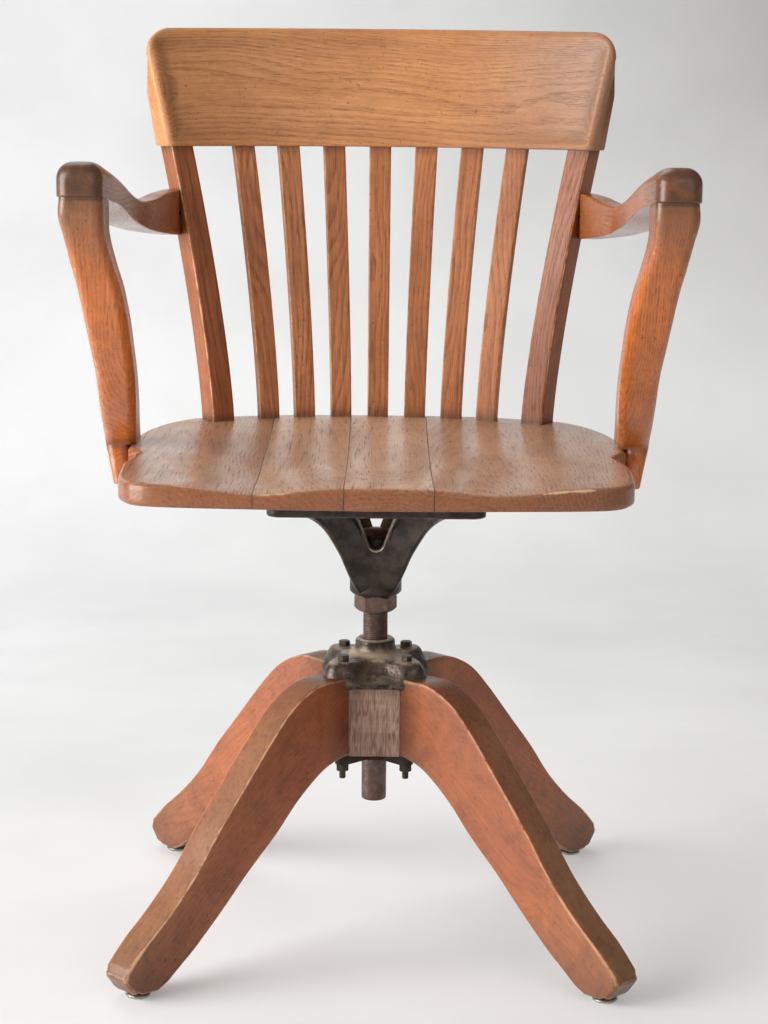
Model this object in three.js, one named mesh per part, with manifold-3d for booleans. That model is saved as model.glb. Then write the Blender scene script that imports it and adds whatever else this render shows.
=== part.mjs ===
// Banker's swivel chair: a saddle seat of four glued boards with a fanned, slatted back and scrolled arms,
// carried by a cast seat iron on a threaded spindle that screws up and down in a four-legged oak base.
// Millimetres, +Z up. The sizes are given from the floor under the spindle, and the sitter faces -Y.
import * as THREE from "three";
import { mergeVertices } from "three/addons/utils/BufferGeometryUtils.js";
import Module from "manifold-3d";

const wasm = await Module();
wasm.setup();

// Clearances
const fit = 0.3;
const overrun = 5;
const finestEdge = 0.02;

// Legs
const legCount = 4;
const legThickness = 34;
const legReach = 339;
const legTop = 266;
const hubDepth = 80;
const legArris = 2;
const footLength = 26;

// Glides under the toes
const glideInset = 29;
const glideRadius = 12;
const glideHeight = 6;
const glideRim = 3;
const glideNailRadius = 2;
const glideNailLength = 16;

// Filler blocks between the legs
const blockWidth = 52;
const blockChamfer = 1.2;

// Hub cap casting
const capSkirtDrop = 11;
const capHeight = 24.5;
const capLobeReach = 68;
const bossHeight = 17;
const bossRadius = 20;
const spindleRadius = 12.5;
const spindleBoreRadius = spindleRadius + fit;

// Hub bolts, their nuts and the lower cross plate
const boltCircle = 44.6;
const boltRadius = 3.2;
const boltHeadFlats = 10.4;
const boltHeadHeight = 5.2;
const boltHoleRadius = boltRadius + fit;
const nutFlats = 12;
const nutHeight = 7;
const boltEndLength = 8;
const plateThickness = 12.5;
const plateArmWidth = 15;
const plateHubRadius = 20;

// Spindle and lock nut
const spindleLength = 271;
const spindleDrop = 45;
const spindleChamfer = 1.5;
const exposedThread = 28.5;
const lockNutFlats = 37;
const lockNutHeight = 17;

// Seat iron
const socketRadius = 26;
const barrelRadius = 23.4;
const barrelHeight = 60;
const socketHeight = 20;
const socketChamfer = 3;
const ironHeight = 114;
const ironHalfWidth = 104.5;
const ironHalfDepth = 125;
const ironFrameHeight = 10;
const ironFrameBar = 26;
const ironCornerRadius = 12;
const ironWall = 6;
const ironTipWidth = 8;
const ironPadWidth = 28;
const ironBow = 46;
const frontNotchHalfWidth = 26.3;
const frontNotchFloor = 48;
const frontNotchRadius = 8;
const rearNotchHalfWidth = 21;
const rearNotchFloor = 55;
const rearNotchRadius = 3;
const ironScrewInset = 13;
const screwRadius = 2.5;
const screwHeadRadius = 5;
const screwHeadHeight = 3;
const ironScrewLength = 26;

// Seat
const seatThickness = 34;
const seatHalfWidth = 246;
const seatFront = 250;
const seatBack = 236;
const seatRimThickness = 21;
const seatEdgeRound = 5;
const seatBowlDepth = 11;
const seatChannelDepth = 7;
const boardJoints = [-111, -29, 52];
const boardGap = 0.3;

// Back: slats and posts stand on arcs that widen and lean back as they rise
const backFootRadius = 318;
const backFootPlace = 220;
const backHeight = 288;
const backFan = 83;
const backLean = 52;
const slatCount = 7;
const slatAngle = 7.1;
const slatFootWidth = 22.3;
const slatHeadWidth = 23.6;
const slatDepth = 10.5;
const slatArris = 1;
const postAngle = 30.9;
const postSplay = 0.6;
const postWidth = 26;
const postDepth = 28;
const postArris = 1.6;
const tenonLength = 13;
const tenonShoulder = 2.5;

// Crest rail
const crestHeight = 126;
const crestAngle = 34;
const crestFlare = 1;
const crestFootDepth = 32;
const crestHeadDepth = 20;
const crestLedge = 3;
const crestScoop = 3;
const crestArch = 3;
const crestHalfWidth = 248;
const crestCornerRadius = 24;

// Arms
const armFront = -190;
const armLength = 405;
const armKnobOuter = 291.5;
const armKnobTop = 283.5;
const armLapReach = 33.2;

// Arm supports
const supportFront = 186;
const armKnobRise = 30.5;
const supportOverhang = 1;
const supportFootStand = 44.5;
const supportJointBack = 120;
const supportArris = 9;
const supportFootDrop = 38;
const armDowelRadius = 5;
const armDowelLength = 36;
const armDowelPlace = 155;
const armDowelInset = 21.5;
const supportScrewLength = 45;
const supportScrewSpacing = 32;
const supportScrewPlace = 22;
const supportScrewDepth = 18;
const supportScrewReach = 12.5;
const armScrewLength = 34;

// Heights and places that follow from the sizes above
const glideCircle = legReach - glideInset;
const hubUnderside = legTop - hubDepth;
const capBottom = legTop - capSkirtDrop;
const capTop = capBottom + capHeight;
const bossTop = capTop + bossHeight;
const plateBottom = hubUnderside - plateThickness;
const spindleBottom = plateBottom - spindleDrop;
const spindleTop = spindleBottom + spindleLength;
const lockNutBottom = bossTop + exposedThread;
const ironBottom = lockNutBottom + lockNutHeight;
const seatUnderside = ironBottom + ironHeight;
const seatTop = seatUnderside + seatThickness;
const crestBottom = seatTop + backHeight;
const supportHeight = armKnobTop - armKnobRise;
const supportTopOuter = armKnobOuter - supportOverhang;
const supportFootOuter = seatHalfWidth + supportFootStand;
const armDowelSide = supportTopOuter - armDowelInset;
const supportScrewSide = seatHalfWidth + supportScrewReach;

// Solids

// A manifold solid of a closed geometry.
function solid(geometry) {
  const bare = new THREE.BufferGeometry();
  bare.setAttribute("position", geometry.getAttribute("position").clone());
  if (geometry.index) bare.setIndex(geometry.index.clone());
  const merged = mergeVertices(bare, 1e-4);
  return new wasm.Manifold(
    new wasm.Mesh({
      numProp: 3,
      vertProperties: merged.attributes.position.array,
      triVerts: new Uint32Array(merged.index.array),
    }),
  );
}

// The geometry of a manifold solid, without the slivers that cuts leave.
function geometryOf(body) {
  const mesh = body.asOriginal().simplify(finestEdge).getMesh();
  const geometry = new THREE.BufferGeometry();
  geometry.setAttribute("position", new THREE.BufferAttribute(mesh.vertProperties, 3));
  geometry.setIndex(new THREE.BufferAttribute(mesh.triVerts, 1));
  return geometry;
}

// A closed body through rings of equal numbers of points. The ends get caps round their mid point, and a
// body whose last ring joins its first has none.
function loft(rings, joined = false) {
  const count = rings[0].length;
  const points = rings.flat();
  const faces = [];
  const spans = joined ? rings.length : rings.length - 1;
  for (let i = 0; i < spans; i++) {
    const here = i * count;
    const next = ((i + 1) % rings.length) * count;
    for (let j = 0; j < count; j++) {
      const k = (j + 1) % count;
      faces.push(here + j, here + k, next + k, here + j, next + k, next + j);
    }
  }
  if (!joined) {
    addCap(points, faces, 0, count, true);
    addCap(points, faces, (rings.length - 1) * count, count, false);
  }
  const geometry = new THREE.BufferGeometry().setFromPoints(points);
  geometry.setIndex(faces);
  return facingOut(geometry);
}

function addCap(points, faces, first, count, reversed) {
  const middle = new THREE.Vector3();
  for (let j = 0; j < count; j++) middle.addScaledVector(points[first + j], 1 / count);
  const centre = points.push(middle) - 1;
  for (let j = 0; j < count; j++) {
    const a = first + j;
    const b = first + ((j + 1) % count);
    if (reversed) faces.push(b, a, centre);
    else faces.push(a, b, centre);
  }
}

// The same geometry with its faces turned outwards.
function facingOut(geometry) {
  const body = solid(geometry);
  if (body.volume() >= 0) return geometry;
  const index = geometry.index.array;
  for (let i = 0; i < index.length; i += 3) [index[i + 1], index[i + 2]] = [index[i + 2], index[i + 1]];
  return geometry;
}

// A value between the rows of a table, on a smooth curve through them. The first column is the place.
function along(rows, place, column) {
  const last = rows.length - 1;
  const at = THREE.MathUtils.clamp(place, rows[0][0], rows[last][0]);
  let i = 0;
  while (i < last - 1 && at > rows[i + 1][0]) i++;
  const span = rows[i + 1][0] - rows[i][0];
  const s = (at - rows[i][0]) / span;
  const slope = (k) => {
    const before = Math.max(k - 1, 0);
    const after = Math.min(k + 1, last);
    return (rows[after][column] - rows[before][column]) / (rows[after][0] - rows[before][0]);
  };
  const start = rows[i][column];
  const rise = rows[i + 1][column] - start;
  const leaving = slope(i) * span;
  const arriving = slope(i + 1) * span;
  const square = 3 * rise - 2 * leaving - arriving;
  const cube = leaving + arriving - 2 * rise;
  return start + s * (leaving + s * (square + s * cube));
}

// A rectangle's outline with cut or rounded corners, from its corner at the least to the greatest values.
function roundedOutline(minX, minY, maxX, maxY, radius, steps = 1) {
  const corners = [
    [maxX - radius, minY + radius, -90],
    [maxX - radius, maxY - radius, 0],
    [minX + radius, maxY - radius, 90],
    [minX + radius, minY + radius, 180],
  ];
  return corners.flatMap(([x, y, start]) =>
    Array.from({ length: steps + 1 }, (_, i) => {
      const angle = THREE.MathUtils.degToRad(start + (90 * i) / steps);
      return new THREE.Vector2(x + radius * Math.cos(angle), y + radius * Math.sin(angle));
    }),
  );
}

function box(minX, minY, minZ, maxX, maxY, maxZ) {
  const geometry = new THREE.BoxGeometry(maxX - minX, maxY - minY, maxZ - minZ);
  geometry.translate((minX + maxX) / 2, (minY + maxY) / 2, (minZ + maxZ) / 2);
  return geometry;
}

// An upright turned body. The profile is a list of [radius, height], from the axis or from a bore.
function turned(profile, segments = 32) {
  const bored = profile[0][0] > 0;
  const points = profile.map(([radius, height]) => new THREE.Vector2(radius, height));
  if (bored) points.push(points[0].clone());
  const geometry = new THREE.LatheGeometry(points, segments);
  geometry.rotateX(Math.PI / 2);
  const bare = new THREE.BufferGeometry();
  bare.setAttribute("position", geometry.getAttribute("position"));
  bare.setIndex(geometry.index);
  return facingOut(mergeVertices(bare, 1e-4));
}

// A round bar from one point to another.
function bar(from, to, radius, segments = 12) {
  const geometry = new THREE.CylinderGeometry(radius, radius, from.distanceTo(to), segments);
  const turn = new THREE.Quaternion().setFromUnitVectors(
    new THREE.Vector3(0, 1, 0),
    to.clone().sub(from).normalize(),
  );
  geometry.applyQuaternion(turn);
  const middle = from.clone().lerp(to, 0.5);
  geometry.translate(middle.x, middle.y, middle.z);
  return geometry;
}

function uprightBar(x, y, bottom, top, radius, segments = 12) {
  return bar(new THREE.Vector3(x, y, bottom), new THREE.Vector3(x, y, top), radius, segments);
}

// A hexagon across its flats, from one height to another, with a flat towards -Y.
function hexBar(bottom, top, flats) {
  const corner = flats / Math.sqrt(3);
  const geometry = new THREE.CylinderGeometry(corner, corner, top - bottom, 6, 1, false, Math.PI / 6);
  geometry.rotateX(Math.PI / 2);
  geometry.translate(0, 0, (top + bottom) / 2);
  return geometry;
}

function subtractAll(body, cutters) {
  return cutters.reduce((left, cutter) => left.subtract(solid(cutter)), body);
}

const chair = new THREE.Group();

function addPiece(name, geometry, material, group = chair) {
  const mesh = new THREE.Mesh(geometry, material.clone());
  mesh.name = name;
  group.add(mesh);
  return mesh;
}

const legOak = new THREE.MeshStandardMaterial({ color: 0x8a4b30, roughness: 0.5, metalness: 0 });
const seatOak = new THREE.MeshStandardMaterial({ color: 0x9a7159, roughness: 0.6, metalness: 0 });
const backOak = new THREE.MeshStandardMaterial({ color: 0x99603d, roughness: 0.5, metalness: 0 });
const armOak = new THREE.MeshStandardMaterial({ color: 0xa65a35, roughness: 0.4, metalness: 0 });
const blockWood = new THREE.MeshStandardMaterial({ color: 0x6f5648, roughness: 0.7, metalness: 0 });
const castIron = new THREE.MeshStandardMaterial({ color: 0x4b443d, roughness: 0.6, metalness: 0.8 });
const spindleSteel = new THREE.MeshStandardMaterial({ color: 0x4e3c37, roughness: 0.5, metalness: 0.8 });
const boltSteel = new THREE.MeshStandardMaterial({ color: 0x4a433c, roughness: 0.5, metalness: 0.8 });
const glideMetal = new THREE.MeshStandardMaterial({ color: 0xb5b0a6, roughness: 0.35, metalness: 1 });

// Legs: sawn from thick plank, one on each diagonal, with the side outline of a swan's neck.
// The upper line is in shares of the reach and of the top height, the lower line in shares of the reach
// and of the underside at the hub.
const legUpperShares = [
  [0.2, 0.997],
  [0.251, 0.998],
  [0.307, 0.979],
  [0.378, 0.929],
  [0.457, 0.831],
  [0.56, 0.684],
  [0.655, 0.549],
  [0.746, 0.404],
  [0.838, 0.289],
  [0.929, 0.195],
  [0.994, 0.117],
];
const legLowerShares = [
  [0.844, 0.065],
  [0.796, 0.129],
  [0.743, 0.199],
  [0.646, 0.349],
  [0.549, 0.511],
  [0.442, 0.672],
  [0.366, 0.806],
  [0.298, 0.903],
  [0.236, 0.968],
  [0.171, 1],
];
const toeTipShare = 0.098;
const toeHeelShare = 0.956;

function legGeometry() {
  const inner = legThickness / 2 + fit;
  const soleEnd = legReach * toeHeelShare;
  const upper = legUpperShares.map(([r, z]) => new THREE.Vector2(r * legReach, z * legTop));
  const lower = legLowerShares.map(([r, z]) => new THREE.Vector2(r * legReach, z * hubUnderside));
  const outline = new THREE.Shape();
  outline.moveTo(inner, legTop);
  outline.lineTo(upper[0].x, upper[0].y);
  outline.splineThru(upper.slice(1));
  outline.lineTo(legReach, toeTipShare * legTop);
  outline.lineTo(soleEnd, glideHeight);
  outline.lineTo(soleEnd - footLength, glideHeight);
  outline.lineTo(lower[0].x, lower[0].y);
  outline.splineThru(lower.slice(1));
  outline.lineTo(inner, hubUnderside);
  outline.closePath();
  const geometry = new THREE.ExtrudeGeometry(outline, {
    depth: legThickness - 2 * legArris,
    bevelEnabled: true,
    bevelThickness: legArris,
    bevelSize: legArris,
    bevelOffset: -legArris,
    bevelSegments: 1,
    curveSegments: 2,
  });
  geometry.translate(0, 0, legArris - legThickness / 2);
  geometry.rotateX(Math.PI / 2);
  const boltHole = uprightBar(boltCircle, 0, hubUnderside - overrun, legTop + overrun, boltHoleRadius);
  const nailTop = glideHeight + glideNailLength + fit;
  const nailHole = uprightBar(glideCircle, 0, glideHeight - overrun, nailTop, glideNailRadius + fit, 8);
  return geometryOf(subtractAll(solid(geometry), [boltHole, nailHole]));
}

function glideGeometry() {
  return turned(
    [
      [0, 0],
      [glideRadius * 0.8, 0],
      [glideRadius, glideRim / 2],
      [glideRadius, glideRim],
      [glideRadius * 0.6, glideHeight],
      [glideNailRadius, glideHeight],
      [glideNailRadius, glideHeight + glideNailLength],
      [0, glideHeight + glideNailLength],
    ],
    24,
  );
}

// Filler block: a wedge that fills the right angle between two legs at the hub, facing -Y.
function blockGeometry() {
  const apex = (legThickness / 2 + fit) * Math.SQRT2;
  const half = blockWidth / 2;
  const c = blockChamfer;
  const outline = new THREE.Shape();
  outline.moveTo(-c, -apex - c);
  outline.lineTo(-half + c, -apex - half + c);
  outline.lineTo(-half + c, -apex - half);
  outline.lineTo(half - c, -apex - half);
  outline.lineTo(half - c, -apex - half + c);
  outline.lineTo(c, -apex - c);
  outline.closePath();
  const depth = capBottom - hubUnderside;
  const geometry = new THREE.ExtrudeGeometry(outline, { depth, bevelEnabled: false });
  geometry.translate(0, 0, hubUnderside);
  return geometry;
}

for (let i = 0; i < legCount; i++) {
  const side = ["front_right", "back_right", "back_left", "front_left"][i];
  const angle = THREE.MathUtils.degToRad(-45 + 90 * i);
  const arm = new THREE.Group();
  arm.rotation.z = angle;
  chair.add(arm);
  addPiece("leg_" + side, legGeometry(), legOak, arm);
  const glide = addPiece("glide_" + side, glideGeometry(), glideMetal, arm);
  glide.position.x = glideCircle;
  const quarter = new THREE.Group();
  quarter.rotation.z = THREE.MathUtils.degToRad(90 * i);
  chair.add(quarter);
  addPiece("filler_block_" + ["front", "right", "back", "left"][i], blockGeometry(), blockWood, quarter);
}

// Hub cap: a casting with a lobe over each leg, a scalloped waist between the lobes and a boss for the
// spindle's thread. Rows are height, lobe reach, waist reach in shares of the cap's, and how narrow the
// lobes are.
const capShares = [
  [0, 0.97, 0.743, 2.8],
  [0.12, 1, 0.757, 2.8],
  [0.33, 0.993, 0.72, 2.8],
  [0.62, 0.956, 0.632, 3],
  [0.86, 0.904, 0.53, 3.3],
  [0.97, 0.868, 0.478, 3.6],
  [1, 0.846, 0.456, 3.7],
];
const bossShares = [
  [0, 1.2],
  [0.2, 1.06],
  [0.5, 1],
  [0.85, 0.985],
  [1, 0.87],
];
const capSegments = 48;

function capRing(height, lobe, waist, narrowness) {
  return Array.from({ length: capSegments }, (_, i) => {
    const angle = (2 * Math.PI * i) / capSegments;
    const reach = waist + (lobe - waist) * Math.abs(Math.sin(2 * angle)) ** narrowness;
    return new THREE.Vector3(reach * Math.cos(angle), reach * Math.sin(angle), height);
  });
}

function hubCapGeometry() {
  const lobed = capShares.map(([height, lobe, waist, narrowness]) =>
    capRing(capBottom + height * capHeight, lobe * capLobeReach, waist * capLobeReach, narrowness),
  );
  const boss = bossShares.map(([height, radius]) =>
    capRing(capTop + height * bossHeight, radius * bossRadius, radius * bossRadius, 1),
  );
  const bore = [bossTop, capBottom].map((height) => capRing(height, spindleBoreRadius, spindleBoreRadius, 1));
  const body = solid(loft([...lobed, ...boss, ...bore], true));
  const bars = [45, -45].map((turn) => {
    const half = legThickness / 2 + fit;
    const gap = box(-legReach, -half, capBottom - overrun, legReach, half, legTop + fit);
    gap.rotateZ(THREE.MathUtils.degToRad(turn));
    return gap;
  });
  const holes = boltPlaces.map(([x, y]) => uprightBar(x, y, capBottom, capTop + overrun, boltHoleRadius));
  return geometryOf(subtractAll(body, [...bars, ...holes]));
}

const boltPlaces = Array.from({ length: legCount }, (_, i) => {
  const angle = THREE.MathUtils.degToRad(-45 + 90 * i);
  return [boltCircle * Math.cos(angle), boltCircle * Math.sin(angle)];
});

// Lower cross plate: a flat iron cross under the legs, with an arm to each bolt.
function crossPlateGeometry() {
  const half = plateArmWidth / 2;
  const reach = boltCircle + half;
  const cross = [45, -45].map((turn) => {
    const outline = new THREE.Shape(roundedOutline(-reach, -half, reach, half, half - fit, 4));
    const armBar = new THREE.ExtrudeGeometry(outline, { depth: plateThickness, bevelEnabled: false });
    armBar.rotateZ(THREE.MathUtils.degToRad(turn));
    armBar.translate(0, 0, plateBottom);
    return solid(armBar);
  });
  const hub = solid(uprightBar(0, 0, plateBottom, hubUnderside, plateHubRadius, 24));
  const bore = uprightBar(0, 0, plateBottom - overrun, hubUnderside + overrun, spindleBoreRadius, 32);
  const holes = boltPlaces.map(([x, y]) =>
    uprightBar(x, y, plateBottom - overrun, hubUnderside + overrun, boltHoleRadius),
  );
  return geometryOf(subtractAll(cross[0].add(cross[1]).add(hub), [bore, ...holes]));
}

// Hub bolt: a hex head on the cap and a long shank through cap, leg and plate.
function hubBoltGeometry() {
  const head = solid(hexBar(capTop, capTop + boltHeadHeight, boltHeadFlats));
  const shankBottom = plateBottom - nutHeight - boltEndLength;
  return geometryOf(head.add(solid(uprightBar(0, 0, shankBottom, capTop + boltHeadHeight / 2, boltRadius))));
}

function hubNutGeometry() {
  const body = solid(hexBar(plateBottom - nutHeight, plateBottom, nutFlats));
  const hole = uprightBar(0, 0, plateBottom - nutHeight - overrun, plateBottom + overrun, boltHoleRadius);
  return geometryOf(subtractAll(body, [hole]));
}

addPiece("hub_cap", hubCapGeometry(), castIron);
addPiece("lower_plate", crossPlateGeometry(), castIron);
boltPlaces.forEach(([x, y], i) => {
  const side = ["front_right", "back_right", "back_left", "front_left"][i];
  addPiece("hub_bolt_" + side, hubBoltGeometry(), boltSteel).position.set(x, y, 0);
  addPiece("hub_nut_" + side, hubNutGeometry(), boltSteel).position.set(x, y, 0);
});

// Spindle: the threaded column that carries the seat. Its thread is left as a plain round.
function spindleGeometry() {
  const c = spindleChamfer;
  return turned([
    [0, spindleBottom],
    [spindleRadius - c, spindleBottom],
    [spindleRadius, spindleBottom + c],
    [spindleRadius, spindleTop - c],
    [spindleRadius - c, spindleTop],
    [0, spindleTop],
  ]);
}

function lockNutGeometry() {
  const body = solid(hexBar(lockNutBottom, ironBottom, lockNutFlats));
  const bore = uprightBar(0, 0, lockNutBottom - overrun, ironBottom + overrun, spindleBoreRadius, 32);
  return geometryOf(subtractAll(body, [bore]));
}

addPiece("spindle", spindleGeometry(), spindleSteel);
addPiece("lock_nut", lockNutGeometry(), spindleSteel);

// Seat iron: four arms run from a round socket out to the corners of a frame under the seat, with hollow
// webs between them that are open in a notch at the front, the back and the sides. Rows are height and
// the arm tips' reach in shares of the iron's height and half width, and how deep the webs are drawn in
// and how wide the tips are, in shares of the bow and of the way from the tip width to the pad's.
const ironShares = [
  [0, 0.13, 0, 0],
  [0.06, 0.19, 0, 0],
  [0.24, 0.275, 0.08, 0],
  [0.38, 0.333, 0.2, 0],
  [0.51, 0.402, 0.33, 0.05],
  [0.63, 0.475, 0.47, 0.1],
  [0.72, 0.555, 0.6, 0.2],
  [0.79, 0.655, 0.75, 0.4],
  [0.835, 0.765, 0.9, 0.7],
  [0.86, 0.9, 1, 1],
  [0.98, 0.95, 1, 1],
];
const ironSideSteps = 5;
const ironFloorShare = 0.2;
const ironTopShare = 0.97;

// One level of the iron's outline: four drawn-in sides between four blunt tips.
function ironRing(share, wall) {
  const reach = along(ironShares, share, 1);
  const halfX = reach * ironHalfWidth - wall;
  const halfY = reach * ironHalfDepth - wall;
  const bow = along(ironShares, share, 2) * ironBow;
  const tipHalf = (ironTipWidth + (ironPadWidth - ironTipWidth) * along(ironShares, share, 3)) / 2;
  const tip = Math.min(tipHalf, halfX / 3);
  const height = ironBottom + share * ironHeight;
  const sides = [
    [0, 1, halfX, halfY],
    [1, 0, halfY, halfX],
    [0, -1, halfX, halfY],
    [-1, 0, halfY, halfX],
  ];
  return sides.flatMap(([nx, ny, along0, out]) =>
    Array.from({ length: ironSideSteps + 1 }, (_, i) => {
      const s = 1 - (2 * i) / ironSideSteps;
      const run = s * (along0 - tip);
      const away = out - bow * (1 - s * s);
      return new THREE.Vector3(nx * away + ny * run, ny * away - nx * run, height);
    }),
  );
}

const ironScrewPlaces = [1, -1].flatMap((sideX) =>
  [1, -1].map((sideY) => [
    sideX * (ironHalfWidth - ironScrewInset),
    sideY * (ironHalfDepth - ironScrewInset),
  ]),
);

// A wood screw that points along +Z from the underside of its head at zero.
function screwGeometry(length, grow = 0) {
  return turned(
    [
      [0, -screwHeadHeight - grow],
      [screwHeadRadius * 0.7 + grow, -screwHeadHeight - grow],
      [screwHeadRadius + grow, -screwHeadHeight / 3],
      [screwHeadRadius + grow, 0],
      [screwRadius + grow, grow],
      [screwRadius + grow, length - screwHeadRadius + grow],
      [0, length + grow],
    ],
    12,
  );
}

const ironScrewZ = seatUnderside - ironFrameHeight - fit;

// A notch: an upright V with a round floor, cut straight through one web along +Y.
function notchGeometry(halfWidth, floor, radius) {
  const rise = ironHeight - ironFrameHeight - floor - radius;
  const steep = Math.atan2(halfWidth - radius, rise);
  const top = ironHeight + overrun;
  const topHalf = radius + (top - floor - radius) * Math.tan(steep);
  const outline = new THREE.Shape();
  outline.moveTo(topHalf, top);
  outline.lineTo(-topHalf, top);
  outline.lineTo(-radius * Math.cos(steep), floor + radius - radius * Math.sin(steep));
  outline.absarc(0, floor + radius, radius, Math.PI + steep, 2 * Math.PI - steep, false);
  outline.closePath();
  const geometry = new THREE.ExtrudeGeometry(outline, {
    depth: ironHalfDepth + 2 * overrun,
    bevelEnabled: false,
    curveSegments: 6,
  });
  geometry.rotateX(Math.PI / 2);
  geometry.rotateZ(Math.PI);
  geometry.translate(0, -overrun, ironBottom);
  return geometry;
}

function seatIronGeometry() {
  const outside = [];
  const inside = [];
  for (const [share] of ironShares) {
    outside.push(ironRing(share, 0));
    if (share > ironFloorShare) inside.push(ironRing(share, ironWall));
  }
  for (const rings of [outside, inside]) {
    const last = rings[rings.length - 1];
    rings.push(last.map((point) => point.clone().setZ(point.z + overrun)));
  }
  const shellTop = ironBottom + ironTopShare * ironHeight;
  const hollow = solid(loft(outside)).subtract(solid(loft(inside)));
  const shell = hollow.trimByPlane([0, 0, -1], -shellTop);
  const frameTop = seatUnderside;
  const frameBottom = frameTop - ironFrameHeight;
  const frameOutline = new THREE.Shape(
    roundedOutline(-ironHalfWidth, -ironHalfDepth, ironHalfWidth, ironHalfDepth, ironCornerRadius, 4),
  );
  const frame = new THREE.ExtrudeGeometry(frameOutline, { depth: ironFrameHeight, bevelEnabled: false });
  frame.translate(0, 0, frameBottom);
  const windowX = ironHalfWidth - ironFrameBar;
  const windowY = ironHalfDepth - ironFrameBar;
  const windowOutline = new THREE.Shape(
    roundedOutline(-windowX, -windowY, windowX, windowY, ironCornerRadius, 4),
  );
  const opening = new THREE.ExtrudeGeometry(windowOutline, {
    depth: ironFrameHeight + 2 * overrun,
    bevelEnabled: false,
  });
  opening.translate(0, 0, frameBottom - overrun);
  const barrel = turned([
    [0, ironBottom],
    [socketRadius - socketChamfer, ironBottom],
    [socketRadius, ironBottom + socketChamfer],
    [socketRadius, ironBottom + socketHeight],
    [barrelRadius, ironBottom + socketHeight + socketChamfer],
    [barrelRadius, ironBottom + barrelHeight],
    [0, ironBottom + barrelHeight],
  ]);
  const front = notchGeometry(frontNotchHalfWidth, frontNotchFloor, frontNotchRadius);
  front.rotateZ(Math.PI);
  const back = notchGeometry(rearNotchHalfWidth, rearNotchFloor, rearNotchRadius);
  const sides = [Math.PI / 2, -Math.PI / 2].map((turn) => {
    const notch = notchGeometry(frontNotchHalfWidth, frontNotchFloor, frontNotchRadius);
    notch.rotateZ(turn);
    return notch;
  });
  const bore = uprightBar(0, 0, ironBottom - overrun, spindleTop + overrun, spindleBoreRadius, 32);
  const webs = subtractAll(shell, [front, back, ...sides]);
  const whole = webs.add(solid(frame).subtract(solid(opening))).add(solid(barrel));
  const screws = ironScrewPlaces.map(([x, y]) =>
    screwGeometry(ironScrewLength, fit).translate(x, y, ironScrewZ),
  );
  return geometryOf(subtractAll(whole, [bore, ...screws]));
}

addPiece("seat_iron", seatIronGeometry(), castIron);

// Seat: a thick top glued up from four boards that run front to back. The outline is the right half, in
// shares of the half width, and of the back's or the front's reach from the spindle.
const seatBackShares = [
  [0, 1],
  [0.22, 0.994],
  [0.42, 0.975],
  [0.64, 0.91],
  [0.81, 0.82],
  [0.905, 0.66],
  [0.968, 0.45],
  [1, 0.25],
];
const seatNotchShares = [
  [1, -0.06],
  [0.939, -0.21],
  [0.98, -0.43],
];
const seatFrontShares = [
  [0.964, -0.74],
  [0.945, -0.84],
  [0.89, -0.92],
  [0.76, -0.958],
  [0.4, -0.985],
  [0, -1],
];
const seatUnderShares = [0.66, 1];
const seatTopShares = [0.93, 0.84, 0.72, 0.58, 0.42, 0.24];
const bowlShare = 0.9;
const channelPlaceShare = 0.45;
const channelWidthShare = 0.2;

function seatOutline() {
  const place = ([x, y]) => new THREE.Vector2(x * seatHalfWidth, y * (y > 0 ? seatBack : seatFront));
  const half = new THREE.Path();
  half.moveTo(0, seatBack);
  half.splineThru(seatBackShares.slice(1).map(place));
  seatNotchShares.map(place).forEach((point) => half.lineTo(point.x, point.y));
  half.splineThru(seatFrontShares.map(place));
  const right = half.getPoints(2);
  const left = right.slice(1, -1).reverse();
  return [...right, ...left.map((point) => new THREE.Vector2(-point.x, point.y))];
}

// The height of the seat's top: a shallow bowl, and two channels that run out over the front edge.
function seatTopHeight(share, x, y) {
  const inBowl = Math.max(0, 1 - (share / bowlShare) ** 2);
  const towardsFront = THREE.MathUtils.smoothstep(-y, 0, seatFront);
  const fromChannel = Math.abs(x) / seatHalfWidth - channelPlaceShare;
  const channel = Math.exp(-((fromChannel / channelWidthShare) ** 2));
  return seatTop - seatBowlDepth * inBowl ** 1.3 - seatChannelDepth * channel * towardsFront;
}

function seatRing(outline, share, height) {
  return outline.map((point) => {
    const x = point.x * share;
    const y = point.y * share;
    return new THREE.Vector3(x, y, height(x, y));
  });
}

function seatSolid() {
  const outline = seatOutline();
  const rimBottom = seatTop - seatRimThickness;
  const least = seatUnderShares[0];
  const under = seatUnderShares.map((share) => {
    const rise = (share - least) / (1 - least);
    return seatRing(outline, share, () => seatUnderside + rise * (rimBottom - seatUnderside));
  });
  const edge = seatRing(outline, 1, (x, y) => seatTopHeight(1, x, y) - seatEdgeRound);
  const edgeShare = 1 - seatEdgeRound / seatHalfWidth;
  const half = seatRing(outline, (1 + edgeShare) / 2, (x, y) => seatTopHeight(1, x, y) - seatEdgeRound / 3);
  const top = [edgeShare, ...seatTopShares].map((share) =>
    seatRing(outline, share, (x, y) => seatTopHeight(share, x, y)),
  );
  return solid(loft([...under, edge, half, ...top]));
}

// Back: a stave is a slat or a post. It stands on the seat at an angle from the middle, square to the arc,
// bends outwards and back as it rises, and its ends are tenons. Shares go from the foot to the head.
const staveShares = [0, 0.2, 0.4, 0.6, 0.8, 1];
const backBend = 1.35;

const backCurve = (share) => (share > 0 && share < 1 ? share ** backBend : share);

function backPoint(degrees, share, outward = 0) {
  const angle = THREE.MathUtils.degToRad(degrees);
  const radius = backFootRadius + backFan * backCurve(share);
  const middle = backFootPlace + backLean * backCurve(share) - radius;
  return new THREE.Vector2(
    (radius + outward) * Math.sin(angle),
    middle + (radius + outward) * Math.cos(angle),
  );
}

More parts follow.
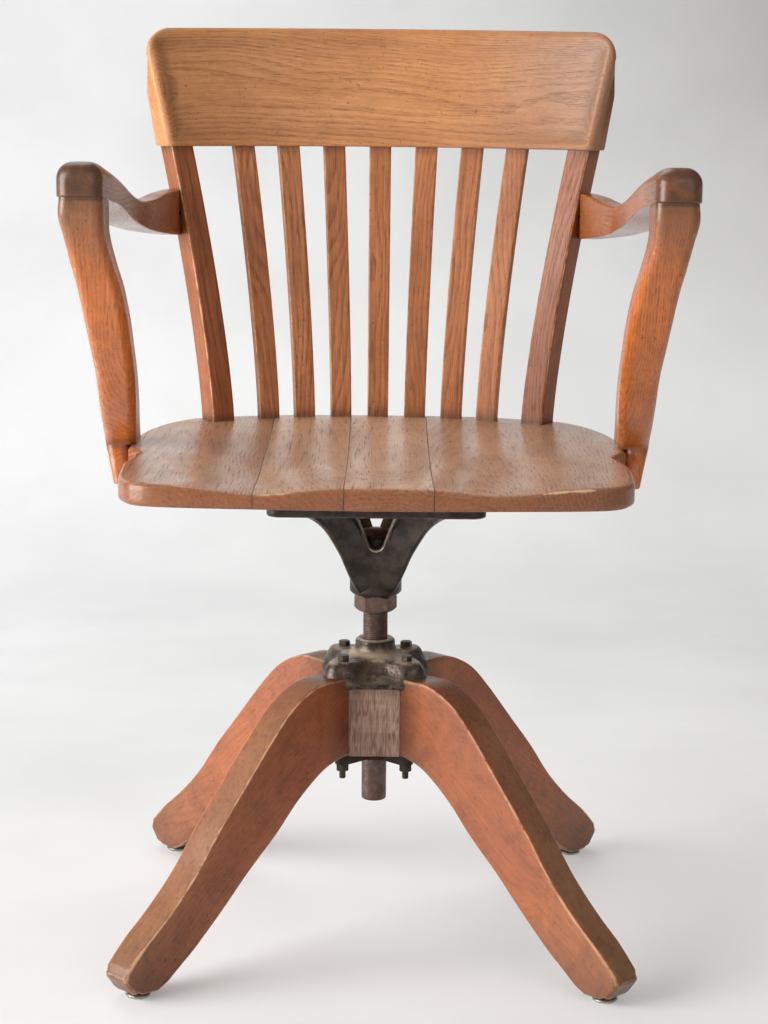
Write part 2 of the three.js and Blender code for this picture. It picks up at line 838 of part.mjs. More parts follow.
// A level ring of a stave, with its front face on the arc. The inset makes it a tenon's.
function staveRing(stave, share, height, inset) {
  const degrees = stave.footAngle + stave.splay * share;
  const half = (stave.footWidth + (stave.headWidth - stave.footWidth) * share) / 2 - inset;
  const foot = backPoint(degrees, share, inset);
  const turn = -THREE.MathUtils.degToRad(degrees);
  return roundedOutline(-half, 0, half, stave.depth - 2 * inset, stave.arris).map((point) => {
    const across = point.rotateAround(new THREE.Vector2(), turn);
    return new THREE.Vector3(foot.x + across.x, foot.y + across.y, height);
  });
}

function staveSolid(stave, grow = 0) {
  const shoulder = tenonShoulder - grow;
  return solid(
    loft([
      staveRing(stave, 0, seatTop - tenonLength - grow, shoulder),
      staveRing(stave, 0, seatTop, shoulder),
      ...staveShares.map((share) => staveRing(stave, share, seatTop + share * backHeight, -grow)),
      staveRing(stave, 1, crestBottom, shoulder),
      staveRing(stave, 1, crestBottom + tenonLength + grow, shoulder),
    ]),
  );
}

const slats = Array.from({ length: slatCount }, (_, i) => ({
  footAngle: (i - (slatCount - 1) / 2) * slatAngle,
  splay: 0,
  footWidth: slatFootWidth,
  headWidth: slatHeadWidth,
  depth: slatDepth,
  arris: slatArris,
}));
const post = {
  footAngle: postAngle,
  splay: postSplay,
  footWidth: postWidth,
  headWidth: postWidth,
  depth: postDepth,
  arris: postArris,
};

// Crest rail: a tall board steamed to the back's arc, leaning back, scooped in front with a rolled rim.
const crestStations = 24;
const crestProfileShares = [
  [0, 1, 0],
  [0, 0, 0],
  [0.18, 0, 0.7],
  [0.5, 0, 1],
  [0.82, 0, 0.7],
  [1, 0, 0],
  [1, 1, 0],
  [0.5, 1, 0],
];

function crestSolid() {
  const rings = Array.from({ length: crestStations + 1 }, (_, i) => {
    const station = (2 * i) / crestStations - 1;
    const points = crestProfileShares.map(([rise, back, scoop]) => {
      const depth = crestFootDepth + (crestHeadDepth - crestFootDepth) * rise;
      const hollow = scoop * crestScoop * (1 - station ** 6);
      const share = 1 + (rise * crestHeight) / backHeight;
      const degrees = station * (crestAngle + crestFlare * rise);
      const place = backPoint(degrees, share, back * depth + hollow - crestLedge);
      const arch = crestArch * rise * (1 - station ** 2);
      return new THREE.Vector3(place.x, place.y, crestBottom + rise * (crestHeight - crestArch) + arch);
    });
    return points;
  });
  const front = new THREE.Shape(
    roundedOutline(
      -crestHalfWidth,
      crestBottom - crestCornerRadius,
      crestHalfWidth,
      crestBottom + crestHeight,
      crestCornerRadius,
      5,
    ),
  );
  const reach = 2 * backFootPlace;
  const frame = new THREE.ExtrudeGeometry(front, { depth: reach, bevelEnabled: false });
  frame.rotateX(Math.PI / 2);
  frame.translate(0, reach, 0);
  return solid(loft(rings)).intersect(solid(frame));
}

// Arms: sawn bars that run back from a rounded knob over the support, and lap the posts' outer sides. Rows
// are the place from the front in shares of the length, the inner and outer side in shares of the knob's
// outer side, the underside and top in shares of the knob's height over the seat, and the arris.
const armShares = [
  [0, 0.885, 0.97, 0.895, 0.955, 0.38],
  [0.01, 0.861, 0.993, 0.891, 0.985, 0.38],
  [0.037, 0.854, 1, 0.887, 1, 0.36],
  [0.094, 0.85, 0.998, 0.878, 0.996, 0.34],
  [0.148, 0.846, 0.992, 0.868, 0.978, 0.28],
  [0.175, 0.845, 0.989, 0.863, 0.967, 0.22],
  [0.247, 0.84, 0.981, 0.852, 0.945, 0.14],
  [0.351, 0.834, 0.967, 0.827, 0.914, 0.1],
  [0.469, 0.825, 0.952, 0.788, 0.876, 0.1],
  [0.58, 0.818, 0.936, 0.758, 0.85, 0.1],
  [0.691, 0.811, 0.915, 0.736, 0.834, 0.1],
  [0.753, 0.799, 0.893, 0.723, 0.831, 0.1],
  [0.815, 0.78, 0.862, 0.711, 0.834, 0.1],
  [0.877, 0.756, 0.83, 0.7, 0.848, 0.1],
  [0.951, 0.73, 0.792, 0.69, 0.857, 0.1],
  [1, 0.72, 0.775, 0.687, 0.857, 0.1],
];

const armCornerSteps = 3;
const armLowShare = 0.15;
const armScrewShare = 0.76;

// A place across the arm: its last row's outer side laps the post, and its knob's is the knob's outer side.
const armBackShare = armShares.at(-1)[2];
const armBackOuter = backPoint(postAngle, armScrewShare).x + armLapReach;

function armSide(share) {
  return THREE.MathUtils.mapLinear(share, armBackShare, 1, armBackOuter, armKnobOuter);
}

// An upright ring across an arm, with round top corners and small lower ones.
function armRing([place, inner, outer, bottom, top, arris]) {
  const x0 = armSide(inner);
  const x1 = armSide(outer);
  const z0 = seatTop + bottom * armKnobTop;
  const z1 = seatTop + top * armKnobTop;
  const y = armFront + place * armLength;
  const round = arris * (x1 - x0);
  return roundedOutline(x0, z0, x1, z1, round, armCornerSteps).map((point, i) => {
    const corner = Math.floor(i / (armCornerSteps + 1));
    const low = corner === 0 || corner === 3;
    const cornerX = corner < 2 ? x1 : x0;
    const x = low ? THREE.MathUtils.lerp(cornerX, point.x, armLowShare) : point.x;
    const z = low ? THREE.MathUtils.lerp(z0, point.y, armLowShare) : point.y;
    return new THREE.Vector3(x, y, z);
  });
}

// Arm supports: sawn to an S that lies along the seat's side at the foot and reaches forward to the knob.
// Rows are height, the inner and outer side, and the front and back edge, in shares of the height over the
// seat, of the outer side there, which runs from the foot's to the top's, and of the front's reach.
const supportShares = [
  [-0.15, 0.8, 0.9, -0.065, 0.3],
  [-0.06, 0.812, 0.916, -0.05, 0.307],
  [0, 0.8245, 0.93, -0.01, 0.308],
  [0.04, 0.8225, 0.93, -0.06, 0.25],
  [0.1, 0.816, 0.93, -0.16, 0.13],
  [0.2, 0.806, 0.929, -0.31, -0.05],
  [0.32, 0.8, 0.929, -0.457, -0.23],
  [0.435, 0.8, 0.935, -0.61, -0.385],
  [0.54, 0.803, 0.943, -0.725, -0.5],
  [0.66, 0.818, 0.956, -0.815, -0.568],
  [0.75, 0.837, 0.97, -0.89, -0.618],
  [0.855, 0.856, 0.987, -0.955, -0.65],
  [0.93, 0.857, 1, -0.99, -0.664],
  [1, 0.857, 0.996, -1, -0.667],
  [1.03, 0.857, 0.996, -1, -0.667],
];
const armSeatSlope = 0.129;

function supportRing([height, inner, outer, front, back]) {
  const side = THREE.MathUtils.lerp(supportFootOuter, supportTopOuter, Math.max(height, 0));
  return roundedOutline(
    inner * side,
    front * supportFront,
    outer * side,
    back * supportFront,
    supportArris,
    3,
  ).map((point) => new THREE.Vector3(point.x, point.y, seatTop + height * supportHeight));
}

// The plane between arm and support, which falls to the back, as a solid under it.
function underArmSolid(drop, backPlace) {
  const outline = new THREE.Shape();
  const frontPlace = -supportFront - overrun;
  const height = (y) => seatTop + supportHeight - drop - armSeatSlope * (y + supportFront);
  outline.moveTo(frontPlace, 0);
  outline.lineTo(backPlace, 0);
  outline.lineTo(backPlace, height(backPlace));
  outline.lineTo(frontPlace, height(frontPlace));
  outline.closePath();
  const reach = 2 * supportTopOuter;
  const geometry = new THREE.ExtrudeGeometry(outline, { depth: reach, bevelEnabled: false });
  geometry.rotateX(Math.PI / 2);
  geometry.rotateZ(Math.PI / 2);
  return solid(geometry);
}

const dowelMiddle = seatTop + supportHeight - armSeatSlope * (supportFront - armDowelPlace);

function dowelBar(grow) {
  const bottom = dowelMiddle - armDowelLength / 2 - grow;
  const top = dowelMiddle + armDowelLength / 2 + grow;
  return uprightBar(armDowelSide, -armDowelPlace, bottom, top, armDowelRadius + grow);
}

const supportScrewPlaces = [0, 1].map((i) => supportScrewPlace + (i - 1 / 2) * supportScrewSpacing);
const supportScrewHeight = seatTop - supportScrewDepth;

// A screw through the support's lap into the seat's edge.
function supportScrew(y, grow) {
  const geometry = screwGeometry(supportScrewLength, grow);
  geometry.rotateY(-Math.PI / 2);
  geometry.translate(supportScrewSide, y, supportScrewHeight);
  return geometry;
}

// A screw from the arm's outer side into the post.
function armScrew(grow) {
  const angle = THREE.MathUtils.degToRad(postAngle);
  const place = backPoint(postAngle, armScrewShare, postDepth / 3);
  const out = postWidth / 2 + screwHeadRadius;
  const geometry = screwGeometry(armScrewLength, grow);
  geometry.rotateY(-Math.PI / 2);
  geometry.rotateZ(-angle);
  geometry.translate(
    place.x + out * Math.cos(angle),
    place.y - out * Math.sin(angle),
    seatTop + armScrewShare * backHeight,
  );
  return geometry;
}

function screwChannel(y) {
  return bar(
    new THREE.Vector3(supportScrewSide, y, supportScrewHeight),
    new THREE.Vector3(supportScrewSide + armKnobOuter, y, supportScrewHeight),
    screwHeadRadius + fit,
  );
}

const mirrored = (body) => body.mirror([1, 0, 0]);

const sides = [
  ["right", (body) => body],
  ["left", mirrored],
];

const staveClearances = [...slats.map((slat) => staveSolid(slat, fit)), staveSolid(post, fit)];
const postClearance = staveSolid(post, fit);
staveClearances.push(mirrored(postClearance));
const crestBody = staveClearances.reduce((rail, stave) => rail.subtract(stave), crestSolid());

function supportBody() {
  const body = solid(loft(supportShares.map(supportRing))).intersect(underArmSolid(fit, supportFront));
  const low = seatTop - supportFootDrop - overrun;
  const lap = box(0, -seatFront, low, seatHalfWidth + fit, seatBack, seatTop + fit);
  const screws = supportScrewPlaces.flatMap((y) => [supportScrew(y, fit), screwChannel(y)]);
  return subtractAll(body, [lap, dowelBar(fit), ...screws]);
}

function armBody() {
  const body = solid(loft(armShares.map(armRing))).subtract(postClearance);
  return subtractAll(body, [dowelBar(fit), armScrew(fit)]).subtract(underArmSolid(0, -supportJointBack));
}

for (const [side, place] of sides) {
  addPiece("arm_support_" + side, geometryOf(place(supportBody())), armOak);
  addPiece("arm_" + side, geometryOf(place(armBody())), armOak);
  addPiece("arm_dowel_" + side, geometryOf(place(solid(dowelBar(0)))), armOak);
  const postBody = staveSolid(post).subtract(solid(armScrew(fit)));
  addPiece("back_post_" + side, geometryOf(place(postBody)), backOak);
  addPiece("arm_screw_" + side, geometryOf(place(solid(armScrew(0)))), boltSteel);
  supportScrewPlaces.forEach((y, i) => {
    const name = "support_screw_" + side + "_" + ["front", "back"][i];
    addPiece(name, geometryOf(place(solid(supportScrew(y, 0)))), boltSteel);
  });
}
slats.forEach((slat, i) => addPiece("slat_" + (i + 1), geometryOf(staveSolid(slat)), backOak));
addPiece("crest_rail", geometryOf(crestBody), backOak);

const cutSeat = [
  ...staveClearances,
  ...sides.flatMap(([, place]) => supportScrewPlaces.map((y) => place(solid(supportScrew(y, fit))))),
  ...ironScrewPlaces.map(([x, y]) => solid(screwGeometry(ironScrewLength, fit).translate(x, y, ironScrewZ))),
].reduce((seat, cutter) => seat.subtract(cutter), seatSolid());

const boardEdges = [-seatHalfWidth - overrun, ...boardJoints, seatHalfWidth + overrun];
for (let i = 0; i < boardJoints.length + 1; i++) {
  const left = boardEdges[i] + boardGap / 2;
  const right = boardEdges[i + 1] - boardGap / 2;
  const slab = box(left, -seatFront - overrun, 0, right, seatBack + overrun, seatTop + overrun);
  addPiece("seat_board_" + (i + 1), geometryOf(cutSeat.intersect(solid(slab))), seatOak);
}

ironScrewPlaces.forEach(([x, y], i) => {
  const side = ["back_right", "front_right", "back_left", "front_left"][i];
  const screw = addPiece("iron_screw_" + side, screwGeometry(ironScrewLength), boltSteel);
  screw.position.set(x, y, ironScrewZ);
});

// The part's origin is on the floor under the middle of its box.
const bounds = new THREE.Box3().setFromObject(chair, true);
chair.position.y = -(bounds.min.y + bounds.max.y) / 2;

const part = new THREE.Group();
part.add(chair);

export default part;
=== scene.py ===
"""Banker's swivel chair in old oak on an iron screw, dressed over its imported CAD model."""

import bmesh
import bpy
import numpy as np
from mathutils import Matrix, Vector


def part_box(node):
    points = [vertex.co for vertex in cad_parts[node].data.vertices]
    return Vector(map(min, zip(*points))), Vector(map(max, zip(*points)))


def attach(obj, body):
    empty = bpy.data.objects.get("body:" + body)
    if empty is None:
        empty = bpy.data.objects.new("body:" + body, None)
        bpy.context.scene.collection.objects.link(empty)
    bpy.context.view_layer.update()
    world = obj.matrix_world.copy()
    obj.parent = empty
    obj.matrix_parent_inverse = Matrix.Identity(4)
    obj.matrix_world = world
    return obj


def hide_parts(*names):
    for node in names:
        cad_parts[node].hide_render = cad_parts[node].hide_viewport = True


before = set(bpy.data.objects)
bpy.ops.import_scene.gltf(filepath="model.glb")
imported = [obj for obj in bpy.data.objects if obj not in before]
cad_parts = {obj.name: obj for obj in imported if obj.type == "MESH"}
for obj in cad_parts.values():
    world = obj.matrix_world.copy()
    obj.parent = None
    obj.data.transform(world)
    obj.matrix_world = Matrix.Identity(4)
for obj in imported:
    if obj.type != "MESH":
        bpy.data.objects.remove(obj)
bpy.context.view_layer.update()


# Legs: four thick oak planks sawn to a swan's neck, one on each diagonal. Their tops are bolted together
# under the iron hub cap, and each toe is cut off steeply so that it shows end grain. The arrises are rubbed
# bare and pale, and the varnish has gone reddish brown. Under the hub cap they darken towards the axis with
# painted shade, and the toes are darkened by dirt near the floor.
MM = 0.001
SPINDLE_LOW, SPINDLE_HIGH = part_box("spindle")
AXIS_Y = (SPINDLE_LOW.y + SPINDLE_HIGH.y) / 2
CORNERS = ("front_right", "back_right", "back_left", "front_left")
CORNER_DEGREES = (-45, 45, 135, 225)
LEG_THICKNESS = 34
LEG_REACH = 339
LEG_TOP = 266
HUB_UNDERSIDE = 186
LEG_INNER = 17.3
LEG_ARRIS = 2.6
TOE_ARRIS = 6
TOE_ROUND = 4.5
SOLE_HEIGHT = 6
SOLE_OUTER = 324
SOLE_LENGTH = 26
LEG_UPPER = [(0.2, 0.997), (0.251, 0.998), (0.307, 0.979), (0.378, 0.929), (0.457, 0.831), (0.56, 0.684),
             (0.655, 0.549), (0.746, 0.404), (0.838, 0.289), (0.929, 0.195), (0.994, 0.117)]
LEG_LOWER = [(0.171, 1), (0.236, 0.968), (0.298, 0.903), (0.366, 0.806), (0.442, 0.672), (0.549, 0.511),
             (0.646, 0.349), (0.743, 0.199), (0.796, 0.129), (0.844, 0.065)]
LEG_STATIONS = 130
LEG_POINTS = 160
LEG_TOE_TOP = 0.098
LEG_GRAIN_DEGREES = -36
LEG_PITH = (190, 65)
LEG_TOP_FACE = slice(15, 27)
CAP_SHADOW = (86, 60)
TREAD_HEIGHTS = (56, 6)


def points_of(x, y, z):
    """Three arrays, spread to one shape, as the coordinates of points."""
    return np.stack(np.broadcast_arrays(x, y, z), axis=-1)


def round_points(radius, angle, height):
    """Points at radii, angles and heights about the upright axis."""
    return points_of(radius * np.cos(angle), radius * np.sin(angle), height)


def ramp(value, start, end):
    """How far a value has come from a start to an end, between 0 and 1."""
    return np.clip((value - start) / (end - start), 0, 1)


def bell(value, middle, width, power=2):
    """1 in the middle, and down to 1 / e at the width away from it."""
    return np.exp(-np.abs((value - middle) / width) ** power)


def cubic(t, start, rise, leaving, arriving):
    """The cubic from a start over a rise that leaves and arrives with two slopes, at shares t of the way."""
    second, third = 3 * rise - 2 * leaving - arriving, leaving + arriving - 2 * rise
    return start + t * (leaving + t * (second + t * third))


def smooth_line(points, steps=12):
    """A line through the points: each span is a cubic whose slope at a point is that between its
    neighbours."""
    p = np.asarray(points, float)
    slope = np.gradient(p, axis=0)
    t = np.linspace(0, 1, steps, endpoint=False)[None, :, None]
    curve = cubic(t, p[:-1, None], p[1:, None] - p[:-1, None], slope[:-1, None], slope[1:, None])
    return np.vstack([curve.reshape(-1, p.shape[1]), p[-1:]])


def evenly(line, count):
    """The same line as points at equal distances along it, found from its running length."""
    run = np.concatenate([[0], np.cumsum(np.linalg.norm(np.diff(line, axis=0), axis=1))])
    places = np.linspace(0, run[-1], count)
    return np.stack([np.interp(places, run, line[:, k]) for k in range(line.shape[1])], axis=1)


def rounded_section(low_x, low_y, high_x, high_y, radii, corner=6, side=6):
    """Round a rectangle anticlockwise from its low side: a quarter circle at each corner and a straight run
    between. The sides and the four radii may be arrays over stations. Gives x and y, and how near each
    place is to an arris, 1 in the middle of a corner and 0 on the flats."""
    sides = np.broadcast_arrays(*[np.atleast_1d(v).astype(float) for v in (low_x, low_y, high_x, high_y)])
    low_x, low_y, high_x, high_y = [value[:, None] for value in sides]
    radii = np.atleast_1d(np.asarray(radii, float))
    r = np.broadcast_to(radii.reshape(len(radii), -1), (4, len(low_x)))[:, :, None]
    turn = np.linspace(0, np.pi / 2, corner)
    centres = [(high_x - r[0], low_y + r[0]), (high_x - r[1], high_y - r[1]), (low_x + r[2], high_y - r[2]),
               (low_x + r[3], low_y + r[3])]
    arcs = []
    for k, (x, y) in enumerate(centres):
        at = turn + (k - 1) * np.pi / 2
        arcs.append((x + r[k] * np.cos(at), y + r[k] * np.sin(at)))
    t = (1 - np.cos(np.pi * np.arange(1, side + 1) / (side + 1))) / 2
    xs, ys, near = [], [], []
    for k in range(4):
        (ax, ay), (bx, by) = arcs[k], arcs[(k + 1) % 4]
        xs += [ax, ax[:, -1:] + t * (bx[:, :1] - ax[:, -1:])]
        ys += [ay, ay[:, -1:] + t * (by[:, :1] - ay[:, -1:])]
        near += [0.4 + 0.6 * np.sin(2 * turn), 0.4 * np.abs(2 * t - 1) ** 5]
    near = np.broadcast_to(np.concatenate(near), (len(low_x), 4 * (corner + side)))
    return np.concatenate(xs, axis=1), np.concatenate(ys, axis=1), near


def round_ends(rings, near, radius, which=(True, True), steps=5):
    """Round the rims of a bar's ends. The rings nearer to an end than the radius are left out, and in their
    place rings step outwards with the sine of a quarter turn and inwards with one less its cosine."""
    for end in (0, 1):
        if not which[end]:
            continue
        if end == 0:
            rings, near = rings[::-1], near[::-1]
        middles, last = rings.mean(axis=1), rings[-1]
        outward = np.cross(last[len(last) // 3] - last[0], last[len(last) // 2] - last[0])
        outward = outward / np.linalg.norm(outward)
        outward = outward * np.sign(np.dot(outward, middles[-1] - middles[-2]))
        kept = np.dot(middles - middles[-1], outward) < -1.3 * radius
        foot = last - radius * outward
        turn = np.linspace(0, np.pi / 2, steps)[:, None, None]
        arms = foot - foot.mean(axis=0)
        inward = -arms / np.linalg.norm(arms, axis=1, keepdims=True)
        rounding = foot + radius * np.sin(turn) * outward + radius * (1 - np.cos(turn)) * inward
        flat = rounding[-1:] + 1.2 * inward
        rings = np.concatenate([rings[kept], rounding, flat])
        bare = np.maximum(near[-1], 0.35 + 0.5 * np.sin(2 * turn[:, :, 0]))
        near = np.concatenate([near[kept], bare, np.full((1, near.shape[1]), 0.2)])
        if end == 0:
            rings, near = rings[::-1], near[::-1]
    return rings, near


def shell_of(points, joined=False, **layers):
    """A closed skin over a grid of points whose rows close on themselves. Either the last row joins the
    first, or both get a flat face."""
    rows, places = points.shape[:2]
    index = np.arange(rows * places).reshape(rows, places)
    upper = np.roll(index, -1, axis=0) if joined else index[1:]
    lower = index if joined else index[:-1]
    quads = np.stack([lower, np.roll(lower, -1, axis=1), np.roll(upper, -1, axis=1), upper], axis=-1)
    caps = [] if joined else [index[0][::-1], index[-1]]
    return {"points": points.reshape(-1, 3), "quads": quads.reshape(-1, 4), "caps": caps,
            "layers": {name: np.asarray(layer, float) for name, layer in layers.items()}}


def make_piece(name, shells, body, nodes, material, sharp=45):
    """Join shells of points, in millimetres from the foot of the chair's axis, into one mesh in metres, and
    let it ride and stand for its CAD nodes. The layers become attributes on its points."""
    points = np.concatenate([shell["points"] for shell in shells]) * MM + np.array([0, AXIS_Y, 0])
    faces = []
    first = 0
    for shell in shells:
        faces += (shell["quads"] + first).tolist() + [(cap + first).tolist() for cap in shell["caps"]]
        first += len(shell["points"])
    mesh = bpy.data.meshes.new(name)
    mesh.from_pydata(points, [], faces)
    surface = bmesh.new()
    surface.from_mesh(mesh)
    bmesh.ops.recalc_face_normals(surface, faces=surface.faces)
    surface.to_mesh(mesh)
    surface.free()
    for layer in sorted({key for shell in shells for key in shell["layers"]}):
        parts = [shell["layers"].get(layer, np.zeros(len(shell["points"]))) for shell in shells]
        vector = max(part.ndim for part in parts) > 1 and parts[0].shape[-1] == 3
        flat = np.concatenate([part.reshape(-1, 3) if vector else part.reshape(-1) for part in parts])
        kind, field = ("FLOAT_VECTOR", "vector") if vector else ("FLOAT", "value")
        mesh.attributes.new(layer, kind, "POINT").data.foreach_set(field, flat.astype(np.float32).ravel())
    mesh.shade_smooth()
    mesh.set_sharp_from_angle(angle=np.radians(sharp))
    mesh.materials.append(material)
    piece = bpy.data.objects.new(name, mesh)
    bpy.context.scene.collection.objects.link(piece)
    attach(piece, body)
    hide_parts(*nodes)
    return piece


def colour(code):
    """Six hex digits as the linear colour that a shader takes."""
    srgb = np.array([int(code[i:i + 2], 16) for i in (0, 2, 4)]) / 255
    linear = np.where(srgb <= 0.04045, srgb / 12.92, ((srgb + 0.055) / 1.055) ** 2.4)
    return (*linear.tolist(), 1.0)


class Look:
    """A new material with its node tree and its shader. Each method adds a node and gives its output."""

    def __init__(self, name):
        self.material = bpy.data.materials.new(name)
        self.material.use_nodes = True
        self.tree = self.material.node_tree
        self.tree.nodes.clear()
        self.shader = self.node("BsdfPrincipled")
        self.output = self.node("OutputMaterial", {0: self.shader.outputs[0]})
        self.place = self.node("TexCoord").outputs["Object"]

    def give(self, taker, inputs):
        """Link each input that is a socket, and set any other. A text is a colour's code."""
        for key, value in inputs.items():
            if isinstance(value, bpy.types.NodeSocket):
                self.tree.links.new(value, taker.inputs[key])
            else:
                taker.inputs[key].default_value = colour(value) if isinstance(value, str) else value

    def node(self, kind, inputs=None, **settings):
        """A node with its settings, and its inputs by name or number."""
        made = self.tree.nodes.new("ShaderNode" + kind)
        for key, value in settings.items():
            setattr(made, key, value)
        self.give(made, inputs or {})
        return made

    def finished(self, inputs):
        """The material, with these inputs given to its shader."""
        self.give(self.shader, inputs)
        return self.material

    def layer(self, name, output="Fac"):
        """An attribute of the mesh's points."""
        return self.node("Attribute", attribute_name=name).outputs[output]

    def maths(self, operation, *values, clamp=False):
        """The result of one Math node on these values."""
        return self.node("Math", dict(enumerate(values)), operation=operation, use_clamp=clamp).outputs[0]

    def times(self, *values, clamp=False):
        """The product of two values."""
        return self.maths("MULTIPLY", *values, clamp=clamp)

    def plus(self, *values, clamp=False):
        """The sum of two values."""
        return self.maths("ADD", *values, clamp=clamp)

    def vector(self, operation, first, second):
        """The result of one Vector Math node on two vectors."""
        return self.node("VectorMath", {0: first, 1: second}, operation=operation).outputs[0]

    def blend(self, share, first, second):
        """Two colours mixed by a share between 0 and 1."""
        return self.node("Mix", {0: share, 6: first, 7: second}, data_type="RGBA").outputs[2]

    def spread(self, value, low, high, out_low=0.0, out_high=1.0):
        """A value read off a soft step between two limits."""
        return self.node("MapRange", {0: value, 1: low, 2: high, 3: out_low, 4: out_high},
                         interpolation_type="SMOOTHSTEP").outputs[0]

    def noise(self, place, scale=1.0, detail=2.0, rough=0.5, warp=0.0):
        """Cloudy noise, so many patches to the metre."""
        return self.node("TexNoise", {"Vector": place, "Scale": scale, "Detail": detail, "Roughness": rough,
                                      "Distortion": warp}).outputs[0]

    def fibres(self, grain, along, across, detail=3.0):
        """Noise drawn out along the fibres: so many patches to the metre along them and across them."""
        return self.noise(self.vector("MULTIPLY", grain, (along, across, across)), detail=detail, rough=0.55)

    def bump(self, strength, distance, height):
        """A normal tilted by a height."""
        return self.node("Bump", {"Strength": strength, "Distance": distance, "Height": height}).outputs[0]


def old_oak(name, light, dark, pore, bare, ring=3.2, warp=0.05, rough=(0.3, 0.46), coat=0.0, wear=0.36,
            grime=0.6, blotch=0.45, figure=0.3, streaks=0.5, pores=0.8, pore_size=(60, 1500), fade_and_painted_light=None,
            murk=0.3):
    """Oak under old varnish. Rings run round a far pith, so many millimetres apart, and are warped by slow
    noise. Pores are short dark dashes along the fibres, thickest where a ring starts. Wear on the arrises
    shows bare wood. Grime and painted shade darken the wood where one layer says. Another lays a second tone
    where the wood has faded, on the seat as painted sheen and on the crest as painted shade, and another says
    where a cut across the fibres hides the rings. Murk is old varnish gone dark in cloudy patches."""
    look = Look(name)
    grain = look.layer("grain", "Vector")
    swing = look.vector("MULTIPLY", (0.0, warp, warp), look.fibres(grain, 2.2, 9, 2.0))
    waves = look.node("TexWave", {"Vector": look.vector("ADD", grain, swing), "Scale": 314 / ring,
                                  "Distortion": 1.6, "Detail": 2.0, "Detail Scale": 0.25,
                                  "Detail Roughness": 0.6},
                      wave_type="RINGS", rings_direction="X", wave_profile="SAW").outputs[1]
    patch = look.fibres(grain, 5, 16)
    across_fibres = look.times(look.layer("endgrain"), 0.85)
    late = look.blend(across_fibres, look.spread(waves, 0.35, 1.0), (0.45, 0.45, 0.45, 1.0))
    streak = look.spread(look.fibres(grain, 7, 300, 4.0), 0.36, 0.66)
    tone = look.plus(look.times(late, figure), look.times(streak, streaks), clamp=True)
    base = look.blend(tone, light, dark)
    base = look.blend(look.times(look.spread(patch, 0.36, 0.68), blotch), base, dark)
    # The second tone: fading on the legs, supports and arms, painted sheen on the seat's top, painted shade
    # at the crest's right end.
    if fade_and_painted_light:
        fade_and_light_share = look.times(look.layer("aged"), look.spread(patch, 0.7, 0.3, 0.4, 0.72))
        base = look.blend(fade_and_light_share, base, fade_and_painted_light)
    dashes = look.times(look.spread(look.fibres(grain, *pore_size), 0.5, 0.66),
                        look.spread(waves, 0.2, 1.0, 0.3, 1.0))
    base = look.blend(look.times(dashes, pores, clamp=True), base, pore)
    if murk:
        clouds = look.spread(look.noise(look.place, 26.0, 10.0, 0.85, 0.6), 0.4, 0.72)
        base = look.blend(look.times(clouds, murk), base, "4b2c1b")
    scuff = look.noise(look.place, 55.0, 5.0, 0.7)
    rubbed = look.spread(look.plus(look.layer("wear"), look.times(scuff, 1.1)), 1.52 - wear * 0.5,
                         1.78 - wear * 0.5)
    base = look.blend(look.times(rubbed, 0.75), base, bare)
    # Darkened where a layer says: real grime and dark joints, and painted shade in corners and under other
    # parts.
    soot_and_shade = look.times(look.layer("grime"), look.spread(scuff, 0.2, 0.6, 0.55, 1.0))
    base = look.blend(look.times(soot_and_shade, grime, clamp=True), base, "2a1a12")
    specks = look.spread(look.noise(look.place, 240.0), 0.66, 0.74)
    base = look.blend(look.times(specks, 0.5), base, pore)
    polish = look.plus(look.times(rubbed, 0.18), look.spread(patch, 0.3, 0.7, *rough))
    relief = look.maths("SUBTRACT", look.times(scuff, 0.35), look.times(dashes, 0.8))
    return look.finished({"Base Color": base,
                          "Roughness": look.plus(polish, look.times(dashes, 0.12), clamp=True),
                          "Normal": look.bump(0.35, 0.0004, relief), "Coat Weight": coat,
                          "Coat Roughness": 0.25, "Specular IOR Level": 0.45})


def leg_rings():
    """Rings of the leg along +X: each stands between a place on the upper line and its partner on the lower
    line, with the plank's thickness across."""
    upper = np.array(LEG_UPPER) * [LEG_REACH, LEG_TOP]
    upper = np.vstack([[(LEG_INNER, LEG_TOP)], evenly(smooth_line(upper), LEG_POINTS),
                       [(LEG_REACH, LEG_TOE_TOP * LEG_TOP)]])
    lower = np.array(LEG_LOWER) * [LEG_REACH, HUB_UNDERSIDE]
    sole = [(SOLE_OUTER - SOLE_LENGTH, SOLE_HEIGHT), (SOLE_OUTER, SOLE_HEIGHT)]
    lower = np.vstack([[(LEG_INNER, HUB_UNDERSIDE)], evenly(smooth_line(lower), LEG_POINTS), sole])
    top, bottom = evenly(upper, LEG_STATIONS), evenly(lower, LEG_STATIONS)
    height = np.linalg.norm(top - bottom, axis=1)
    half = LEG_THICKNESS / 2
    arris = LEG_ARRIS + (TOE_ARRIS - LEG_ARRIS) * np.clip(np.linspace(-9, 1, LEG_STATIONS), 0, 1)
    x, y, near = rounded_section(-half, 0, half, height, np.tile(arris, (4, 1)), side=8)
    share = (y / height[:, None])[:, :, None]
    line = bottom[:, None] * (1 - share) + top[:, None] * share
    return round_ends(points_of(line[..., 0], x, line[..., 1]), near, TOE_ROUND, (False, True), steps=7)


def turned_about(points, degrees):
    """Points turned about the upright axis."""
    angle = np.radians(degrees)
    c, s = np.cos(angle), np.sin(angle)
    x, y, z = np.moveaxis(points, -1, 0)
    return points_of(x * c - y * s, x * s + y * c, z)


